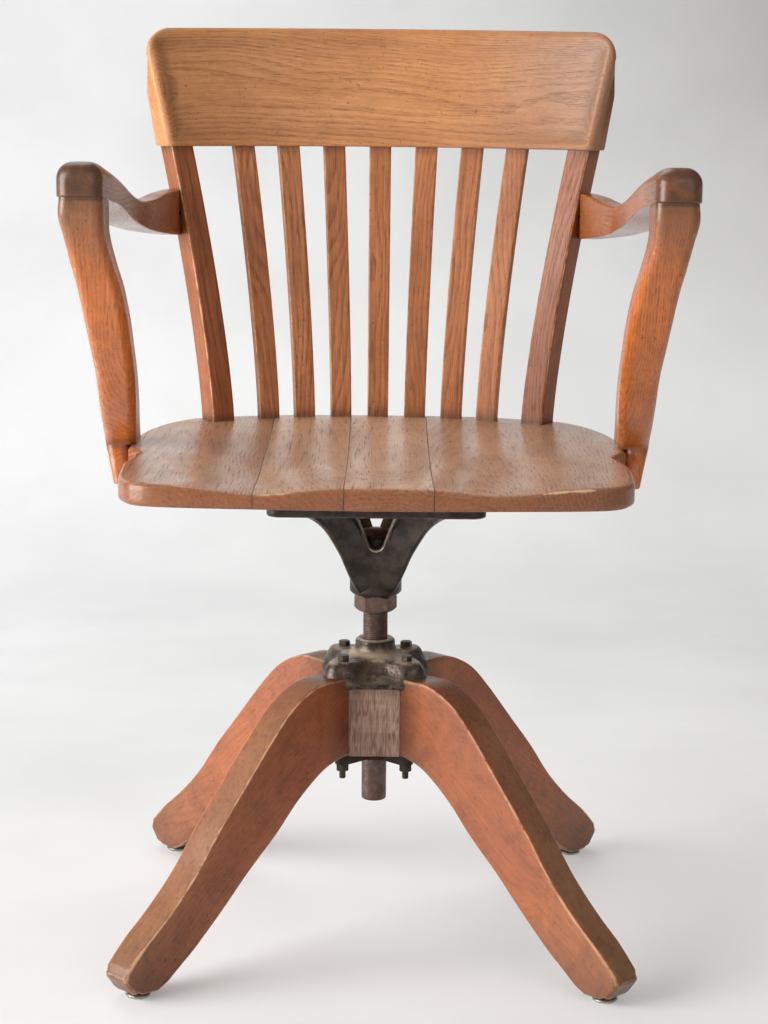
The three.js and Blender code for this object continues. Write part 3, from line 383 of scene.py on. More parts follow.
LEG_OAK = old_oak("leg_oak", "b56a42", "854629", "3f2114", "d9a67c", ring=4.0, rough=(0.26, 0.46),
                  coat=0.12, wear=0.46, figure=0.15, streaks=0.18, pores=0.5, pore_size=(90, 1100),
                  fade_and_painted_light="85684b", murk=0.6)
rings, near = leg_rings()
x, y, z = np.moveaxis(rings, -1, 0)
slope = np.radians(LEG_GRAIN_DEGREES)
along, up = x * np.cos(slope) + z * np.sin(slope), z * np.cos(slope) - x * np.sin(slope)
# Painted shade under the hub cap, darkest by the axis, and dirt on the toes near the floor.
dirt_and_shade = np.maximum(ramp(x, *CAP_SHADOW), ramp(z, *TREAD_HEIGHTS) * 0.7)
dulled = ramp(x, 230, 330) * 0.6
dulled[:, LEG_TOP_FACE] = 1.0
for number, (corner, degrees) in enumerate(zip(CORNERS, CORNER_DEGREES)):
    grain = points_of(along + 700 * number, up - LEG_PITH[0] + 40 * number, y + LEG_PITH[1]) * MM
    leg = shell_of(turned_about(rings, degrees), grain=grain, wear=near, grime=dirt_and_shade, aged=dulled)
    make_piece("leg_wood_" + corner, [leg], "base", ["leg_" + corner], LEG_OAK)


# Glides: buttons pressed from pale metal, each with a nail driven up into its toe. They are domed to slide,
# and dulled by the floor.
GLIDE_CIRCLE = 310
GLIDE_PROFILE = [(0.05, 0), (8, 0.05), (10.4, 0.5), (11.6, 1.5), (12, 2.6), (11.4, 3.6), (9, 4.9), (7, 6),
                 (2, 6), (2, 14), (0.05, 15)]


def revolved(profile, places=48):
    """A profile of radius and height carried round the upright axis."""
    profile = np.asarray(profile, float)
    angle = 2 * np.pi * np.arange(places) / places
    return round_points(profile[:, :1], angle, profile[:, 1:])


def plain_metal(name, base, second, rough, metallic, bump, scale, dust=None, dust_share=0.0, rust=None,
                shine="8d857a", shine_share=0.5):
    """Worn metal: two tones in fine blotches, brighter where the wear layer says, dust on faces that look
    up and where the grime layer says, and roughness that follows the blotches."""
    look = Look(name)
    coarse = look.noise(look.place, scale, 5.0, 0.65)
    tone = look.blend(look.spread(coarse, 0.35, 0.65), base, second)
    if rust:
        tone = look.blend(look.times(look.spread(coarse, 0.5, 0.62), 0.55), tone, rust)
    bright = look.spread(look.plus(look.layer("wear"), look.times(coarse, 0.9)), 1.15, 1.5)
    tone = look.blend(look.times(bright, shine_share), tone, shine)
    if dust:
        upward = look.node("SeparateXYZ", {0: look.node("NewGeometry").outputs["Normal"]}).outputs[2]
        lying = look.times(look.spread(upward, 0.45, 0.98), look.spread(coarse, 0.35, 0.6, 0.15, 1.0))
        lying = look.maths("MAXIMUM", lying, look.layer("grime"))
        tone = look.blend(look.times(lying, dust_share), tone, dust)
        metallic = look.times(look.maths("SUBTRACT", 1.0, lying), metallic)
    height = look.plus(coarse, look.times(look.noise(look.place, scale * 7, 3.0), 0.35))
    return look.finished({"Base Color": tone, "Metallic": metallic,
                          "Roughness": look.plus(rough, look.times(look.spread(coarse, 0.3, 0.7), 0.2)),
                          "Normal": look.bump(bump, 0.0012, height)})


GLIDE_METAL = plain_metal("glide_metal", "b9b4a8", "a09a8e", 0.28, 1.0, bump=0.08, scale=200.0)
glide = revolved(GLIDE_PROFILE)
for corner, degrees in zip(CORNERS, CORNER_DEGREES):
    button = shell_of(turned_about(glide + [GLIDE_CIRCLE, 0, 0], degrees))
    make_piece("glide_button_" + corner, [button], "base", ["glide_" + corner], GLIDE_METAL)


# Filler blocks: four upright wedges of darker wood let into the angles between the legs under the cap. They
# were painted with a dry brush, so a film with upright strokes lies over the grain.
BLOCK_WIDTH = 52
BLOCK_ARRIS = 1.6
CAP_BOTTOM = 255
BLOCK_SIDES = ("front", "right", "back", "left")
BLOCK_APEX = LEG_INNER * np.sqrt(2)


def wedge_rings():
    """The wedge's outline, its apex at the axis and its two front arrises rounded, carried up the block, with
    the rims of both ends rounded."""
    turn = np.linspace(0, np.pi / 2, 6)
    r, half = BLOCK_ARRIS, BLOCK_WIDTH / 2
    front = -BLOCK_APEX - half
    left = np.stack([-half + r - r * np.cos(turn), front + r - r * np.sin(turn)], axis=1)
    right = np.stack([half - r + r * np.sin(turn), front + r - r * np.cos(turn)], axis=1)
    face = np.stack([np.linspace(left[-1, 0], right[0, 0], 20)[1:-1], np.full(18, front)], axis=1)
    side = np.linspace(0.05, 0.95, 8)[:, None]
    peak = np.array([[0.0, -BLOCK_APEX - 1.0]])
    outline = np.vstack([left, face, right, right[-1:] * (1 - side) + peak * side, peak,
                         peak * (1 - side) + left[:1] * side])
    bare = 0.4 + 0.6 * np.sin(2 * turn)
    near = np.concatenate([bare, np.zeros(len(face)), bare, np.zeros(2 * len(side) + 1)])
    rings = points_of(outline[:, 0], outline[:, 1], np.linspace(HUB_UNDERSIDE, CAP_BOTTOM, 40)[:, None])
    return round_ends(rings, np.broadcast_to(near, rings.shape[:2]), r)


def brushed_wood(name):
    """Grey-brown wood with strokes of a dry brush: two noises drawn out along the block's height, one coarse
    and wavering and one fine, part the pale film from the dark ground, and a third lies in bands across."""
    look = Look(name)

    def drawn(up, across, warp):
        return look.noise(look.vector("MULTIPLY", look.place, (across, across, up)), detail=4.0, warp=warp)

    strokes = look.spread(drawn(26, 190, 2.2), 0.36, 0.6)
    hairs = look.spread(drawn(45, 620, 1.6), 0.38, 0.62)
    bands = look.spread(drawn(60, 16, 1.0), 0.36, 0.64)
    film = look.times(strokes, look.plus(0.4, look.times(hairs, 0.6)))
    film = look.plus(look.times(film, 0.8), look.times(bands, 0.25), clamp=True)
    base = look.blend(film, "755646", "b29582")
    # Darkened where a layer says, which on the blocks is painted shade.
    base = look.blend(look.times(look.layer("grime"), 0.6), base, "33231c")
    base = look.blend(look.times(look.layer("wear"), 0.35), base, "9a7d6a")
    return look.finished({"Base Color": base, "Roughness": look.spread(hairs, 0.0, 1.0, 0.5, 0.72),
                          "Normal": look.bump(0.4, 0.0005, film)})


BLOCK_WOOD = brushed_wood("brushed_block_wood")
rings, near = wedge_rings()
# Painted shade: the blocks darken just under the hub cap and along their edges beside the legs.
dirt_and_shade = np.maximum(ramp(rings[..., 2], CAP_BOTTOM - 9, CAP_BOTTOM),
                  ramp(np.abs(rings[..., 0]), BLOCK_WIDTH / 2 - 3, BLOCK_WIDTH / 2) * 0.6)
for number, side in enumerate(BLOCK_SIDES):
    wedge = shell_of(turned_about(rings, 90 * number), wear=near, grime=dirt_and_shade)
    make_piece("block_" + side, [wedge], "base", ["filler_block_" + side], BLOCK_WOOD)


# Hub cap: a dark iron casting with a lobe over each leg, a scalloped waist and a round boss for the spindle.
# Oil and dust have dried pale on its upper faces.
CAP_HEIGHT = 24.5
CAP_REACH = 68
CAP_TOP = CAP_BOTTOM + CAP_HEIGHT
BOSS_HEIGHT = 17
BOSS_RADIUS = 20
BOSS_FOOT = 3
BORE_RADIUS = 12.8
CAP_PLACES = 240
CAP_ROWS = [(0, 0.97, 0.743, 2.8), (0.12, 1, 0.757, 2.8), (0.33, 0.99, 0.69, 2.8), (0.62, 0.956, 0.59, 3),
            (0.86, 0.915, 0.515, 3.3), (0.97, 0.878, 0.478, 3.6), (1, 0.85, 0.456, 3.7)]
BOSS_ROWS = [(0, 1.2), (0.2, 1.06), (0.5, 1), (0.85, 0.985), (1, 0.87)]


def read_rows(rows, places):
    """Read a table at any places of its first column, on cubics whose slopes are those between neighbours."""
    rows = np.asarray(rows, float)
    at = rows[:, 0]
    slope = np.gradient(rows[:, 1:], axis=0) / np.gradient(at)[:, None]
    k = np.clip(np.searchsorted(at, places, side="right") - 1, 0, len(at) - 2)
    span = (at[k + 1] - at[k])[:, None]
    t = np.clip((places - at[k])[:, None] / span, 0, 1)
    return cubic(t, rows[k, 1:], rows[k + 1, 1:] - rows[k, 1:], slope[k] * span, slope[k + 1] * span)


def cap_rings():
    """Level rings of the cap. A ring's reach swings between the waist and the lobes with a power of the sine
    of twice the angle; the boss and the bore are round."""
    angle = 2 * np.pi * np.arange(CAP_PLACES) / CAP_PLACES
    share = np.concatenate([np.linspace(0, 0.86, 14), np.linspace(0.88, 1, 8)])
    rows = read_rows(CAP_ROWS, share)
    lobe, waist, narrow = rows[:, :1] * CAP_REACH, rows[:, 1:2] * CAP_REACH, rows[:, 2:]
    reach = waist + (lobe - waist) * np.abs(np.sin(2 * angle)) ** narrow
    level = CAP_BOTTOM + share * CAP_HEIGHT
    shelf = np.linspace(0.08, 0.9, 10)[:, None]
    crown = reach[-1] * (1 - shelf) + 1.25 * BOSS_RADIUS * shelf
    crown_level = level[-1] + 0.9 * np.sin(np.pi / 2 * shelf[:, 0]) + 2.2 * shelf[:, 0] ** 6
    up = np.concatenate([np.linspace(0.03, 0.86, 8), np.linspace(0.9, 1, 4)])
    boss = read_rows(BOSS_ROWS, up) * BOSS_RADIUS
    boss_level = CAP_TOP + BOSS_FOOT + up * (BOSS_HEIGHT - BOSS_FOOT)
    bore = np.array([[16.0], [BORE_RADIUS], [BORE_RADIUS], [BORE_RADIUS]])
    bore_level = np.array([CAP_TOP + BOSS_HEIGHT, CAP_TOP + BOSS_HEIGHT - 0.6, CAP_TOP, CAP_BOTTOM])
    radius = np.vstack([reach, crown, boss + 0 * angle, bore + 0 * angle])
    height = np.concatenate([level, crown_level, boss_level, bore_level])[:, None]
    near = np.zeros(radius.shape)
    near[1:4] = 0.45
    near[len(share) - 5:len(share) + 1] = 0.62
    near[-7:-3] = 0.8
    return round_points(radius, angle, height), near


CAST_IRON = plain_metal("hub_iron", "63564c", "2a2421", 0.24, 0.75, bump=0.8, scale=80.0, dust="c0ae96",
                        dust_share=0.72, shine="d2c6b4", shine_share=0.9)
rings, near = cap_rings()
by_boss = np.hypot(rings[..., 0], rings[..., 1]) < 1.5 * BOSS_RADIUS
crease = bell(rings[..., 2], CAP_TOP + BOSS_FOOT, 3.5) * by_boss
make_piece("hub_cap_casting", [shell_of(rings, joined=True, wear=near, grime=crease)], "base", ["hub_cap"],
           CAST_IRON, sharp=60)


# Lower plate: a plain iron cross under the legs that the hub bolts draw up. Its CAD solid is flat bar and is
# kept, with a slight bevel and the same old iron, darker for being in the shade.
PLATE_IRON = plain_metal("plate_iron", "3c3530", "2c2825", 0.5, 0.6, bump=0.35, scale=70.0, rust="5a3a2a")


def keep_solid(names, material, bevel=0.0):
    """CAD nodes that stay in view take this finish, and a narrow bevel where it is asked for."""
    for name in names:
        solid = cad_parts[name]
        solid.data.materials.clear()
        solid.data.materials.append(material)
        if bevel:
            weld = solid.modifiers.new("weld", "WELD")
            weld.merge_threshold = 2e-5
            edge = solid.modifiers.new("arris", "BEVEL")
            edge.width, edge.segments, edge.angle_limit = bevel * MM, 2, np.radians(40)


keep_solid(["lower_plate"], PLATE_IRON, bevel=0.8)


# Hub bolts and nuts: square-shouldered hexagon heads on the lobes, with long shanks down through the legs to
# nuts under the plate. They are oiled steel with bright corners.
BOLT_CIRCLE = 44.6
BOLT_FLATS = 10.4
HEAD_HEIGHT = 5.2
NUT_FLATS = 12
NUT_HEIGHT = 7
BOLT_RADIUS = 3.2
PLATE_BOTTOM = 173.5
BOLT_END = PLATE_BOTTOM - NUT_HEIGHT - 8
CROWN_DEPTH = 0.704


def hexagon_rings(bottom, top, flats, twist, bore=0.0, places=96, foot=True):
    """A hexagon bar between two heights. Its reach is the flat's half width over the cosine of the angle from
    the flat's middle, and near the ends no more than a cone's, which turns the corners into a crown."""
    angle = 2 * np.pi * np.arange(places) / places
    from_flat = (angle + twist + np.pi / 6) % (np.pi / 3) - np.pi / 6
    flat = flats / 2 / np.cos(from_flat)
    corner = flats / np.sqrt(3)
    past_flat = corner - flats / 2
    share = np.concatenate([np.linspace(0, 0.22, 6), [0.5], np.linspace(0.78, 1, 6)])
    depth = np.minimum(share if foot else 1, 1 - share)[:, None] * (top - bottom)
    cone = flats / 2 * 0.96 + past_flat * np.clip(depth / (CROWN_DEPTH * past_flat), 0, 1.4)
    reach = np.minimum(flat, cone)
    level = bottom + share * (top - bottom)
    if bore:
        reach = np.vstack([reach, np.full((2, places), bore)])
        level = np.append(level, [top, bottom])
    near = 0.9 * ramp(np.abs(reach - corner), 0.9, 0)
    return round_points(reach, angle, level[:, None]), near


BOLT_STEEL = plain_metal("oiled_bolt_steel", "4e463d", "38322c", 0.34, 0.8, bump=0.25, scale=160.0,
                         dust="7b7258", dust_share=0.45)
shank = revolved([(0.05, BOLT_END), (2.6, BOLT_END), (BOLT_RADIUS, BOLT_END + 0.8), (BOLT_RADIUS, CAP_TOP),
                  (0.05, CAP_TOP + 1)], places=24)
for number, (corner, degrees) in enumerate(zip(CORNERS, CORNER_DEGREES)):
    place = turned_about(np.array([BOLT_CIRCLE, 0.0, 0.0]), degrees)
    head, near = hexagon_rings(CAP_TOP + 0.9, CAP_TOP + HEAD_HEIGHT + 0.6, BOLT_FLATS, 0.4 * number,
                               foot=False)
    parts = [shell_of(head + place, wear=near), shell_of(shank + place, wear=np.zeros(shank.shape[:2]))]
    make_piece("bolt_" + corner, parts, "base", ["hub_bolt_" + corner], BOLT_STEEL, sharp=35)
    nut, near = hexagon_rings(PLATE_BOTTOM - NUT_HEIGHT, PLATE_BOTTOM, NUT_FLATS, 0.7 * number)
    make_piece("nut_" + corner, [shell_of(nut + place, wear=near)], "base", ["hub_nut_" + corner],
               BOLT_STEEL, sharp=35)


# Spindle: a steel column cut with a fine right-handed thread from its top down through the boss, and turned
# plain below. It is rust-brown, and brighter along the thread's crests.
SPINDLE_RADIUS = 12.5
SPINDLE_BOTTOM = 128.5
SPINDLE_TOP = 399.5
THREAD_PITCH = 2.0
THREAD_DEPTH = 0.95
THREAD_START = 190
SPINDLE_PLACES = 40


def threaded_rings():
    """Rings up the column. The radius falls by a triangle wave of the height over the pitch less the angle's
    share of a turn, which is a right-handed thread, and runs out at both ends."""
    angle = 2 * np.pi * np.arange(SPINDLE_PLACES) / SPINDLE_PLACES
    plain = SPINDLE_BOTTOM + np.array([0, 0.4, 1.5, 10, 30, 50])
    thread = np.arange(THREAD_START, SPINDLE_TOP - 2, THREAD_PITCH / 6)
    top = SPINDLE_TOP - np.array([1.5, 0])
    level = np.concatenate([plain, thread, top])
    phase = (level[:, None] / THREAD_PITCH - angle / (2 * np.pi)) % 1
    wave = np.abs(2 * phase - 1)
    run = ramp(level, THREAD_START, THREAD_START + 4) * ramp(level, SPINDLE_TOP - 2, SPINDLE_TOP - 5)
    radius = SPINDLE_RADIUS - THREAD_DEPTH * (1 - np.clip(wave * 1.5 - 0.15, 0, 1)) * run[:, None]
    radius[0] -= 1.5
    radius[1] -= 0.7
    radius[-1] -= 1.5
    near = np.clip(wave * 1.6 - 0.8, 0, 1) * run[:, None]
    return round_points(radius, angle, level[:, None]), near


SPINDLE_STEEL = plain_metal("spindle_steel", "76625a", "54443d", 0.34, 0.7, bump=0.2, scale=120.0,
                            rust="7d5543")
rings, near = threaded_rings()
make_piece("threaded_spindle", [shell_of(rings, wear=near)], "spindle", ["spindle"],
           SPINDLE_STEEL, sharp=75)


# Lock nut: a large hexagon nut of the spindle's steel, run up the thread against the seat iron's socket. One
# of its flats faces the front.
LOCK_NUT_BOTTOM = 325
IRON_BOTTOM = 342
LOCK_NUT_FLATS = 37
rings, near = hexagon_rings(LOCK_NUT_BOTTOM, IRON_BOTTOM, LOCK_NUT_FLATS, np.pi / 2, bore=BORE_RADIUS,
                            places=144)
make_piece("hexagon_lock_nut", [shell_of(rings, joined=True, wear=near)], "seat", ["lock_nut"],
           SPINDLE_STEEL, sharp=35)


# Seat iron: one casting that carries the seat. Four blades run from a round socket out to the corners of a
# frame under the seat, and hollow webs between them are open in front, behind and at the sides in a V with a
# round foot. It is black-brown, rubbed along the lips, and dusty on the inner faces.
IRON_HEIGHT = 114
IRON_HALF_WIDTH = 104.5
IRON_HALF_DEPTH = 125
IRON_BOW = 46
IRON_WALL = 6
IRON_FLOOR = 0.24
IRON_TOP = 0.975
IRON_FRAME_WIDTH = 26
IRON_FRAME_DEPTH = 16
IRON_FRAME_CORNER = 12
IRON_LIP_ROW = 43.5
SEAT_UNDERSIDE = IRON_BOTTOM + IRON_HEIGHT
IRON_ROWS = [(0, 0.13, 0, 0), (0.06, 0.19, 0, 0), (0.24, 0.275, 0.08, 0), (0.38, 0.333, 0.2, 0),
             (0.51, 0.402, 0.33, 0.05), (0.63, 0.475, 0.47, 0.1), (0.72, 0.555, 0.6, 0.2),
             (0.79, 0.655, 0.75, 0.4), (0.835, 0.765, 0.9, 0.7), (0.86, 0.9, 1, 1), (0.98, 0.95, 1, 1)]
IRON_SIDES = [(0, 1, 21, 55, 3), (-1, 0, 26.3, 48, 8), (0, -1, 26.3, 48, 8), (1, 0, 26.3, 48, 8)]
SOCKET_PROFILE = [(BORE_RADIUS, 342.2), (22.6, 342.2), (23.6, 342.6), (25.6, 344.6), (26, 346), (26, 359),
                  (25.5, 361), (23.8, 364), (23.4, 366), (23.4, 400), (22.6, 402), (20, 404.4), (15, 406.6),
                  (9, 408), (0.05, 408.6), (0.05, 400.4), (BORE_RADIUS, 400)]


def iron_size(share, lengthways, wall=0.0):
    """Half the run of a web between its blades, its reach out from the axis and how far it is bowed in, at
    shares of the iron's height."""
    rows = read_rows(IRON_ROWS, np.ravel(share)).reshape(*np.shape(share), 3)
    half_x = rows[..., 0] * IRON_HALF_WIDTH - wall
    half_y = rows[..., 0] * IRON_HALF_DEPTH - wall
    tip = np.minimum(4 + 10 * np.clip(rows[..., 2], 0, 1), half_x / 3)
    run, out = (half_y, half_x) if lengthways else (half_x, half_y)
    return run - tip, out, rows[..., 1] * IRON_BOW


def notch_edge(share, half_top, floor, radius):
    """Half the notch's width at a height: round at its foot, then a straight V."""
    rise = IRON_HEIGHT - 10 - floor - radius
    steep = np.arctan2(half_top - radius, rise)
    up = share * IRON_HEIGHT - floor
    round_part = np.sqrt(np.clip(radius ** 2 - (radius - up) ** 2, 0, None))
    straight = radius * np.cos(steep) + (up - radius + radius * np.sin(steep)) * np.tan(steep)
    return np.where(up < radius * (1 - np.sin(steep)), np.where(up > 0, round_part, 0), straight)


def iron_rings():
    """Rings round the four webs, from the foot up the outside, over the rounded lips and down the inside. A
    column ends where its web meets the notch, or at the top. Gives the wear of the lips and blades too, and
    the dust inside, which lies thickest on the back web."""
    swing = np.linspace(1, -1, 81)
    t = np.sign(swing) * np.abs(swing) ** 1.5
    columns = []
    up = np.linspace(0, 1, 40)[:, None]
    for nx, ny, half_top, floor, radius in IRON_SIDES:
        lengthways = nx != 0
        levels = np.linspace(floor / IRON_HEIGHT, IRON_TOP, 400)
        edge = notch_edge(levels, half_top, floor, radius) / iron_size(levels, lengthways)[0]
        edge = np.maximum.accumulate(edge) + np.linspace(0, 1e-4, 400)
        end = np.interp(np.abs(t), edge, levels)

        def web(share, wall):
            run, out, bow = iron_size(share, lengthways, wall)
            away = out - bow * (1 - t ** 2)
            return points_of(nx * away + ny * t * run, ny * away - nx * t * run,
                             IRON_BOTTOM + share * IRON_HEIGHT)

        outside = web(up * end, 0.0)
        inside = web(IRON_FLOOR + (1 - up) * (end - IRON_FLOOR), IRON_WALL)
        middle, half = (outside[-1] + inside[0]) / 2, (outside[-1] - inside[0]) / 2
        climb = outside[-1] - outside[-2]
        climb = climb / np.linalg.norm(climb, axis=1, keepdims=True)
        turn = np.linspace(0, np.pi, 9)[1:-1, None, None]
        rise = climb * np.linalg.norm(half, axis=1)[:, None] * 0.7
        columns.append(np.concatenate([outside, middle + half * np.cos(turn) + rise * np.sin(turn), inside]))
    webs = []
    for k, web_rings in enumerate(columns):
        following = columns[(k + 1) % 4]
        w = np.linspace(0, 1, 6)[1:-1][None, :, None]
        first, second = web_rings[:, -1:], following[:, :1]
        out = (first + second) / 2 * [1, 1, 0]
        out = out / np.linalg.norm(out, axis=2, keepdims=True)
        bulge = np.linalg.norm(second - first, axis=2, keepdims=True) * 0.22 * np.sin(np.pi * w)
        webs += [web_rings, first * (1 - w) + second * w + bulge * out]
    rings = np.concatenate(webs, axis=1)
    row = np.arange(len(rings))[:, None] + 0 * rings[..., 0]
    lips = np.where(np.abs(row - IRON_LIP_ROW) < 5, 0.95, 0.0)
    blades = np.tile(np.append(np.abs(t) ** 8 * 0.45, np.full(4, 0.5)), 4) * (row < IRON_LIP_ROW)
    at_back = rings[..., 1] > np.abs(rings[..., 0]) * 0.8
    dusty = (row > IRON_LIP_ROW + 3) * np.where(at_back, 1.0, 0.25)
    return rings, np.maximum(lips, blades), dusty


IRON_BLACK = plain_metal("seat_iron_black", "443931", "2a2420", 0.26, 0.6, bump=0.3, scale=60.0,
                         dust="967f62", dust_share=0.9, shine="c4b6a3", shine_share=0.9)
rings, near, dusty = iron_rings()
webs = shell_of(rings, wear=near, grime=dusty)
plans = []
for inset in (IRON_FRAME_WIDTH, 0):
    half_x, half_y = IRON_HALF_WIDTH - inset, IRON_HALF_DEPTH - inset
    x, y = rounded_section(-half_x, -half_y, half_x, half_y, IRON_FRAME_CORNER, corner=10, side=30)[:2]
    plans.append(np.stack([x.T, y.T]))
across, level, near = rounded_section(0, SEAT_UNDERSIDE - IRON_FRAME_DEPTH, IRON_FRAME_WIDTH,
                                      SEAT_UNDERSIDE - 0.2, [2.5, 0.5, 0.5, 2.5])
share = across / IRON_FRAME_WIDTH
rings = points_of(*(plans[0] * (1 - share) + plans[1] * share), level)
flange = shell_of(rings, joined=True, wear=near * 0.8 + 0 * rings[..., 0])
socket = shell_of(revolved(SOCKET_PROFILE, places=96), joined=True)
make_piece("seat_iron_casting", [webs, flange, socket], "seat", ["seat_iron"], IRON_BLACK,
           sharp=50)


# Wood screws: plain steel screws through the iron's corners and out of sight in the joints. Their CAD solids
# are kept, apart from the two that hold the arms, which are made with the arms.
keep_solid([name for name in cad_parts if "screw" in name and "arm_screw" not in name], BOLT_STEEL)


# Seat: four oak boards glued side by side, front to back, with faint dark lines at the joints. The top is
# hollowed to a shallow saddle with two channels over the front edge, and cut in at the sides for the arm
# supports. Its top is painted paler, most on the middle boards, as a painted sheen of the wall's light on
# the glossy varnish, and its front arris is chipped pale.
SEAT_TOP = 490
SEAT_HALF_WIDTH = 246
SEAT_FRONT = 250
SEAT_BACK = 236
BOARD_JOINTS = (-111, -29, 52)
BOARD_GAP = 0.24
RIM_THICKNESS = 21
UNDERSIDE_SLOPE = 84
EDGE_ROUND = 4.5
BOWL_DEPTH = 11
CHANNEL_DEPTH = 7
BOARD_TILTS = (0.02, -0.015, 0.012, 0.06)
BOARD_PITHS = [(0, 38), (15, 60), (-20, 55), (35, 34)]
# How strongly each board's top is painted paler as sheen.
BOARD_SHEENS = (0.82, 1.2, 1.5, 0.95)
SEAT_OUTLINE_BACK = [(0, 1), (0.22, 0.994), (0.42, 0.975), (0.64, 0.91), (0.81, 0.82), (0.905, 0.66),
                     (0.968, 0.45), (1, 0.25), (1, -0.06)]
SEAT_OUTLINE_NOTCH = [(1, -0.06), (0.939, -0.21), (0.98, -0.43)]
SEAT_OUTLINE_FRONT = [(0.98, -0.43), (0.964, -0.74), (0.945, -0.84), (0.89, -0.92), (0.76, -0.958),
                      (0.4, -0.985), (0, -1)]
RIM_POINTS = 700
END_POINTS = 260
SIDE_FIRST, SIDE_LAST = 330, 415
SIDE_POINTS = 400


def seat_outline():
    """The right half of the seat's outline from back to front, as points about a millimetre apart."""
    def placed(shares):
        x, y = np.array(shares, float).T
        return np.stack([x * SEAT_HALF_WIDTH, y * np.where(y > 0, SEAT_BACK, SEAT_FRONT)], axis=1)

    back = smooth_line(placed(SEAT_OUTLINE_BACK[:-1]), 14)
    notch = placed(SEAT_OUTLINE_NOTCH)
    front = smooth_line(placed(SEAT_OUTLINE_FRONT), 14)
    return evenly(np.vstack([back, notch[:2], front]), RIM_POINTS)


RIM = seat_outline()
WHOLE_RIM = np.vstack([RIM, RIM[-2:0:-1] * [-1, 1]])


def from_rim(x, y):
    """How far places on the seat are from its outline: the least distance to any of its short sides."""
    flat = np.stack([np.ravel(x), np.ravel(y)], axis=1)[:, None]
    start = WHOLE_RIM[::3]
    span = np.roll(start, -1, axis=0) - start
    along = np.clip(((flat - start) * span).sum(axis=2) / (span ** 2).sum(axis=1), 0, 1)
    away = flat - start - along[:, :, None] * span
    return np.sqrt((away ** 2).sum(axis=2).min(axis=1)).reshape(np.shape(x))


def seat_height(x, y):
    """The saddle: a bowl that fades out towards the rim, and two channels that deepen to the front."""
    angle = np.arctan2(WHOLE_RIM[:, 1], WHOLE_RIM[:, 0])
    order = np.argsort(angle)
    reach = np.interp(np.arctan2(y, x), angle[order], np.hypot(*WHOLE_RIM.T)[order], period=2 * np.pi)
    share = np.hypot(x, y) / reach
    bowl = BOWL_DEPTH * np.clip(1 - (share / 0.9) ** 2, 0, None) ** 1.3
    forward = ramp(y, 0, -SEAT_FRONT)
    channel = bell(np.abs(x) / SEAT_HALF_WIDTH, 0.45, 0.2)
    return SEAT_TOP - bowl - CHANNEL_DEPTH * channel * forward ** 2 * (3 - 2 * forward)


def board_grid(left, right):
    """Places across and along a board. A middle board runs straight between its joints, from the front rim
    to the back rim. An outer board is a patch between its joint and three stretches of the rim: the sum of
    the two ways of joining opposite sides, less the patch through the four corners."""
    steps = EDGE_ROUND * (1 - np.cos(np.linspace(0, np.pi / 2, 7)))
    v = np.concatenate([steps / 480, np.linspace(10, 470, 110) / 480, 1 - steps[::-1] / 480])
    at_joint = np.array([0, 0.15, 0.4, 0.8, 2.0])
    width = right - left
    outer_left, outer_right = left == -SEAT_HALF_WIDTH, right == SEAT_HALF_WIDTH
    start = steps if outer_left else at_joint
    end = steps if outer_right else at_joint
    u = np.concatenate([start / width, np.linspace(6, width - 6, 44) / width, 1 - end[::-1] / width])
    back_part, front_part = RIM[:END_POINTS], RIM[::-1][:END_POINTS]

    def line(x, part):
        return np.interp(np.abs(x), part[:, 0], part[:, 1])

    if not outer_left and not outer_right:
        x = left + BOARD_GAP / 2 + u * (width - BOARD_GAP)
        front, back = line(x, front_part), line(x, back_part)
        return np.broadcast_to(x, (len(v), len(u))), front + v[:, None] * (back - front)
    joint = left if outer_right else -right
    joint = abs(joint) + np.sign(joint) * BOARD_GAP / 2
    k_back = int(np.argmin(np.abs(back_part[:, 0] - joint)))
    k_front = RIM_POINTS - 1 - int(np.argmin(np.abs(front_part[:, 0] - joint)))
    back_y, front_y = line(joint, back_part), line(joint, front_part)
    back = evenly(np.vstack([[(joint, back_y)], RIM[k_back + 1:SIDE_FIRST + 1]]), SIDE_POINTS)
    front = evenly(np.vstack([[(joint, front_y)], RIM[SIDE_LAST:k_front][::-1]]), SIDE_POINTS)
    side = evenly(RIM[SIDE_FIRST:SIDE_LAST + 1][::-1], SIDE_POINTS)
    w = u if outer_right else 1 - u[::-1]

    def read(curve, share):
        at = share * (len(curve) - 1)
        return np.stack([np.interp(at, np.arange(len(curve)), curve[:, k]) for k in (0, 1)], axis=-1)

    low, high = read(front, w)[None], read(back, w)[None]
    near_side = np.stack([np.full(len(v), joint), front_y + v * (back_y - front_y)], axis=-1)[:, None]
    far_side = read(side, v)[:, None]
    V, W = v[:, None, None], w[None, :, None]
    corners = ((1 - W) * (1 - V) * near_side[:1] + W * (1 - V) * far_side[:1] + (1 - W) * V * near_side[-1:]
               + W * V * far_side[-1:])
    patch = (1 - V) * low + V * high + (1 - W) * near_side + W * far_side - corners
    return patch[..., 0] * (1 if outer_right else -1), patch[..., 1]


